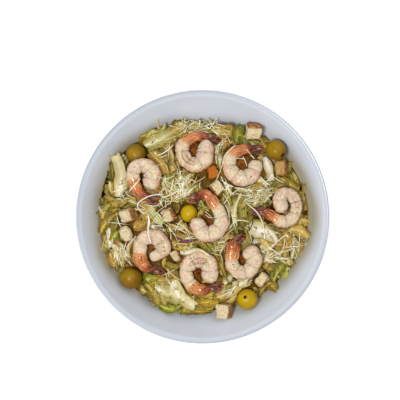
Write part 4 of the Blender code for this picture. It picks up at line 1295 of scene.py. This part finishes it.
def body_swell(u, angle, slit):
    """How the flesh bulges and is notched here, as a factor of the body's radius; and how far it is darkened,
    a little inside the slit and, as painted shade, along the slit's edges and in the folds between rings.
    """
    ring = u / RING_LENGTH
    fold = bell(ring - round(ring), 0.09)
    inner = 0.5 - 0.5 * math.cos(angle)
    bulge = 0.055 * math.sin(math.pi * ring) ** 2 - fold * mix(0.05, 0.085, inner)
    start, end, depth = slit
    opening = seam = lip = 0
    if start < u < end:
        lens = math.sin(math.pi * (u - start) / (end - start))
        off = abs(math.remainder(angle - SLIT_ANGLE, math.tau))
        width = 0.05 + 0.3 * lens
        opening = depth * lens * math.exp(-((off / width) ** 6))
        seam = depth * lens**0.5 * bell(off - width, 0.08)
        lip = depth * lens * bell(off - 1.5 * width, 0.15)
    size = 1 + bulge - 0.2 * opening - 0.1 * seam + 0.09 * lip
    # Darkening: a little in the slit's opening, and painted shade on its edges and in the folds, most on the
    # inner side.
    return size, 0.25 * opening + seam + fold * mix(0.2, 0.6, inner**2)


def add_blade(bm, route, side, layers):
    """One blade of the fan: it runs along the route beside its middle, at a place from -2 to 2."""
    zone, cut_shade, back, lay = layers
    reach = 1 - (0.06, 0, 0.015)[abs(side)]
    for vertex in grid(bm, BLADE_CUTS):
        s = (vertex.co.x + 1) / 2
        angle = (vertex.co.y + 1) * math.pi
        u = mix(BLADE_START, reach, s)
        spot, outward, width = route.at(u)
        height = mix(width * BODY_FLATNESS, 1.1 * MM, smooth_step((u - 0.82) / 0.14))
        round_off = math.sqrt(max(0, 1 - s**6)) * math.sqrt(min(1, s * 8 + 0.02))
        half = width * mix(0.42, 0.3 if side else 0.16, s) * round_off
        off = side * width * mix(0.16, 0.37, smooth_step(s * 1.2)) + half * math.cos(angle)
        ridge = 0.6 * MM + 0.5 * MM * bell(math.cos(angle), 0.3)
        up = height + (0.5 - 0.3 * abs(side)) * MM + ridge * round_off * math.sin(angle)
        vertex.co = spot + outward * off + UP * up
        vertex[zone] = mix(0.78, 1, s)
        vertex[cut_shade] = vertex[back] = 0
        vertex[lay] = (u * route.length / MM, off / MM, side * 7)


def shrimp_mesh(points, shell_start, slit, seed):
    """A peeled shrimp on its side with the last shell ring and the fan left on, its underside at Z 0."""
    route = Route(points)
    cap = route.path[0].z / route.length
    bm = bmesh.new()
    zone, cut_shade, back = (bm.verts.layers.float.new(name) for name in ("zone", "cut_shade", "back"))
    lay = bm.verts.layers.float_vector.new("lay")
    for vertex in grid(bm, BODY_CUTS):
        u = (vertex.co.x + 1) / 2 * BODY_END
        angle = (vertex.co.y + 1) * math.pi
        spot, outward, width = route.at(u)
        height = width * BODY_FLATNESS
        round_off = max(0, 1 - max(0, 1 - u / cap) ** CAP_POWER) ** (1 / CAP_POWER)
        close = math.sqrt(max(0, 1 - max(0, (u - BLADE_START) / (BODY_END - BLADE_START)) ** 2.2))
        size, groove = body_swell(u, angle, slit)
        across, up = math.cos(angle), math.sin(angle)
        reach = outward * width * across + UP * height * up
        uneven = 0.07 * lumps(spot + reach, 210, seed) + 0.028 * lumps(spot + reach, 430, 0, seed)
        collar = 0.05 * smooth_step((u - shell_start) / 0.012) * smooth_step((0.82 - u) / 0.05)
        size += uneven + collar
        rise = UP * height * (1 - 0.35 * (1 - close))
        vertex.co = spot + rise + reach * size * round_off * mix(0.12, 1, close)
        past = (u - shell_start) / (BODY_END - shell_start)
        flesh = u < shell_start
        vertex[zone] = 0.5 * u / shell_start if flesh else mix(0.51, 0.84, past)
        vertex[cut_shade] = groove * flesh
        vertex[back] = float(smooth_step((across - 0.5) / 0.4)) * flesh
        vertex[lay] = (u * route.length / MM, angle * width / MM, 0)
    bmesh.ops.remove_doubles(bm, verts=bm.verts, dist=0.004 * MM)
    for side in (2, -2, 1, -1, 0):
        add_blade(bm, route, side, (zone, cut_shade, back, lay))
    bmesh.ops.remove_doubles(bm, verts=bm.verts, dist=0.002 * MM)
    return bm


def make_shrimp(flesh, name, slope_share, shell_start, slit, points):
    bm = shrimp_mesh(points, shell_start, slit, random.Random(name).uniform(0, 40))
    middle = Vector([sum(point[axis] for point in points) for axis in (0, 1)]).to_3d() * MM / len(points)
    move(bm, -middle)
    bmesh.ops.rotate(bm, verts=bm.verts, matrix=bed_tilt(middle.x, middle.y, slope_share))
    low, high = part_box(name)
    lowest = min(v.co.z for v in bm.verts)
    move(bm, middle + UP * (low.z - lowest))
    return serve(piece_from(bm, name + "_dressed", flesh), "shrimp", name)


def olive_mesh(star):
    """A pitted olive along Z, its hole at the top."""
    floor = OLIVE_HALF_LENGTH - OLIVE_HOLE_DEPTH
    hole = OLIVE_HOLE * (0.55 if star else 1)
    lip = math.asin(hole / OLIVE_RADIUS)
    mouth = OLIVE_HALF_LENGTH * math.cos(lip) - 0.9 * MM
    profile = [(0, floor), (hole * 0.5, floor), (hole * 0.9, floor + 0.6 * MM), (hole, mouth)]
    for ring in range(OLIVE_RINGS):
        angle = mix(lip, math.pi, ring / OLIVE_RINGS)
        sunk = 0.5 * MM * bell(angle - lip, 0.12)
        profile.append((OLIVE_RADIUS * math.sin(angle), OLIVE_HALF_LENGTH * math.cos(angle) - sunk))
    bm = turned(profile + [(0, -OLIVE_HALF_LENGTH)], OLIVE_SEGMENTS)
    cut_shade = bm.verts.layers.float.new("cut_shade")
    for vertex in bm.verts:
        radius = vertex.co.xy.length
        inside = radius < hole * 1.02 and vertex.co.z > 0
        # Painted shade: the hole, and the star groove below, are marked to be painted dark.
        vertex[cut_shade] = inside
        if star and vertex.co.z > 0 and radius > hole * 0.8:
            angle = math.atan2(vertex.co.y, vertex.co.x)
            groove = max(0, math.cos(5 * angle)) ** 6 * bell(radius - hole, 1.6 * MM)
            vertex.co.z -= 0.5 * MM * groove
            vertex[cut_shade] = max(vertex[cut_shade], 0.8 * groove)
        if not inside:
            vertex.co += vertex.co.normalized() * lumps(vertex.co, 130) * 0.25 * MM
    return bm


def make_olive(skin, name, azimuth, rise, size, bright, star):
    bm = olive_mesh(star)
    facing = Vector((1, 0, 0))
    facing.rotate(Euler((0, -math.radians(rise), math.radians(azimuth))))
    turn = facing.to_track_quat("Z", "Y").to_matrix().to_4x4()
    bmesh.ops.transform(bm, matrix=turn @ Matrix.Scale(size, 4), verts=bm.verts)
    # Painted light: each olive's own brightness, raised on the side that faces the light and lowered on the
    # far side.
    ripe_and_lit = bm.verts.layers.float.new("ripe_and_lit")
    for vertex in bm.verts:
        vertex[ripe_and_lit] = min(1, max(0, bright + 0.6 * (vertex.co.normalized().dot(LIT_SIDE) - 0.62)))
    low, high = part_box(name)
    move(bm, (low + high) / 2)
    return serve(piece_from(bm, name + "_skin", skin), "olive", name)


def make_crouton(bread, name, length, width, height, *looks):
    *turn, square, browned, crust_side = looks
    rule = random.Random(name)
    size = Vector((length, width, height)) * MM
    bm = bmesh.new()
    bmesh.ops.create_cube(bm, size=1)
    for vertex in bm.verts:
        for axis in range(3):
            vertex.co[axis] = vertex.co[axis] * size[axis] + rule.uniform(-1, 1) * CROUTON_UNEVEN
    bmesh.ops.subdivide_edges(bm, edges=bm.edges, cuts=CROUTON_CUTS, use_grid_fill=True)
    bake_crouton(bm, size / 2, square, browned, crust_side, rule.uniform(0, 30))
    bmesh.ops.rotate(bm, verts=bm.verts, matrix=Euler([math.radians(a) for a in turn]).to_matrix())
    corners = np.array([v.co for v in bm.verts])
    low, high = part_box(name)
    move(bm, (low + high) / 2 - Vector((corners.min(0) + corners.max(0)) / 2))
    return serve(piece_from(bm, name + "_toasted", bread), "crouton", name)


def bake_crouton(bm, half, square, browned, crust_side, seed):
    """Rounds the cube, opens pores in its crumb and marks where it is crust or browned."""
    crust, toast = bm.verts.layers.float.new("crust"), bm.verts.layers.float.new("toast")
    for vertex in bm.verts:
        shares = [vertex.co[axis] / half[axis] for axis in range(3)]
        on_crust = sum(share * side for share, side in zip(shares, crust_side))
        shares = sorted(abs(share) for share in shares)
        ragged = 0.12 * lumps(vertex.co, 260, seed)
        vertex[crust] = float(smooth_step((on_crust - 0.8 + ragged) / 0.12))
        patch = 0.5 + lumps(vertex.co, 150, z=seed)
        vertex[toast] = float(smooth_step((shares[1] - 0.74) / 0.26)) * patch + browned
        rounding = shares[2] / sum(share**square for share in shares) ** (1 / square)
        pit = 1.8 * MM * max(0, lumps(vertex.co, 620, seed) - 0.05) * (1 - 0.6 * vertex[crust])
        lump = 1.1 * MM * lumps(vertex.co, 190, 0, seed)
        vertex.co = vertex.co * rounding + vertex.co.normalized() * (lump - pit)


def sprinkle(toppings, ground):
    """Grains of pepper and scraps of herb on the shrimps and round them."""
    rule = random.Random(SEED + 3)
    bm = bmesh.new()
    spots = list(HERBS)
    for topping in toppings:
        corners = np.array([v.co for v in topping.data.vertices])
        low, high = corners.min(0) / MM, corners.max(0) / MM
        for _ in range(GRAINS):
            x, y = rule.uniform(low[0], high[0]), rule.uniform(low[1], high[1])
            if not ground.is_open(x * MM, y * MM):
                spots.append((x, y))
    for k, (x, y) in enumerate(spots):
        long = rule.uniform(0.55, 0.95) if k < len(HERBS) else rule.uniform(0.25, 0.6)
        made = bmesh.ops.create_icosphere(bm, subdivisions=1, radius=1)["verts"]
        turn = Euler((rule.uniform(-0.4, 0.4), rule.uniform(-0.4, 0.4), rule.uniform(0, math.pi)))
        spot = Vector((x * MM, y * MM, float(ground.at(x * MM, y * MM)) + 0.05 * MM))
        matrix = Matrix.LocRotScale(spot, turn, Vector((long * 1.6, long * 0.6, 0.2)) * MM)
        bmesh.ops.transform(bm, matrix=matrix, verts=made)
    serve(piece_from(bm, "pepper_and_herbs", finish("dark_specks", herb_and_pepper)), BED, BED)


# The studio.


def make_stage():
    bm = bmesh.new()
    bmesh.ops.create_grid(bm, x_segments=1, y_segments=1, size=FLOOR_SIZE)
    glow = {"Emission_Strength": 0.3, "Emission_Color": (1, 1, 1, 1)}
    floor = piece_from(bm, "floor", finish("pale_floor", plain_floor, Roughness=0.9, **glow), outwards=False)


def add_light(name, place, size, watts, colour):
    lamp = bpy.data.lights.new(name, "AREA")
    lamp.size = size
    lamp.energy = watts
    lamp.color = colour
    obj = link(name, lamp)
    obj.location = place
    obj.rotation_euler = (-Vector(place)).to_track_quat("-Z", "Y").to_euler()


def light_and_camera():
    scene = bpy.context.scene
    scene.view_settings.view_transform = "Standard"
    scene.world = bpy.data.worlds.new("studio")
    scene.world.use_nodes = True
    colour, strength = scene.world.node_tree.nodes["Background"].inputs[:2]
    colour.default_value, strength.default_value = (1, 1, 1, 1), 0.5
    add_light("window", (-0.3, -0.2, 1.15), 0.32, 10.5, (1, 0.99, 0.97))
    add_light("reflector", (0.5, 0.5, 1.1), 0.9, 4, (1, 1, 1))
    camera = bpy.data.cameras.new("camera")
    camera.lens = FILM_GATE * CAMERA_RISE / (PICTURE_WIDTH * PIXEL)
    scene.camera = link("camera", camera)
    scene.camera.location = (*(p * PIXEL for p in CAMERA_SPOT), BOWL_HEIGHT + CAMERA_RISE)


def make_all(make, made_of, table):
    return [make(made_of, name, *row) for name, row in table.items()]


def main():
    make_bowl()
    flesh = finish(
        "cooked_shrimp", cooked_shrimp, Specular_IOR_Level=0.18,
        Subsurface_Weight=0.5, Subsurface_Scale=4 * MM, Subsurface_Radius=(1, 0.7, 0.5),
    )
    shrimps = make_all(make_shrimp, flesh, SHRIMPS)
    olives = make_all(make_olive, finish("olive_skin", green_olive, Specular_IOR_Level=0.2), OLIVES)
    bread = finish("toasted_bread", toasted_bread, Specular_IOR_Level=0.08)
    croutons = make_all(make_crouton, bread, CROUTONS)
    ground = Ground(shrimps + olives + croutons)
    make_core(ground)
    leaf = finish("wet_leaf", wet_leaf, Specular_IOR_Level=0.08)
    lay_strips(ground, leaf)
    lay_leaves(ground, leaf)
    cheese = finish("hard_cheese", grated_cheese, Specular_IOR_Level=0.15)
    lay_cheese(ground, cheese)
    lay_onion(ground)
    ground.cover_toppings()
    lay_shavings(ground, cheese)
    lay_long_shreds(ground, cheese)
    sprinkle(shrimps, ground)
    make_stage()
    light_and_camera()


main()
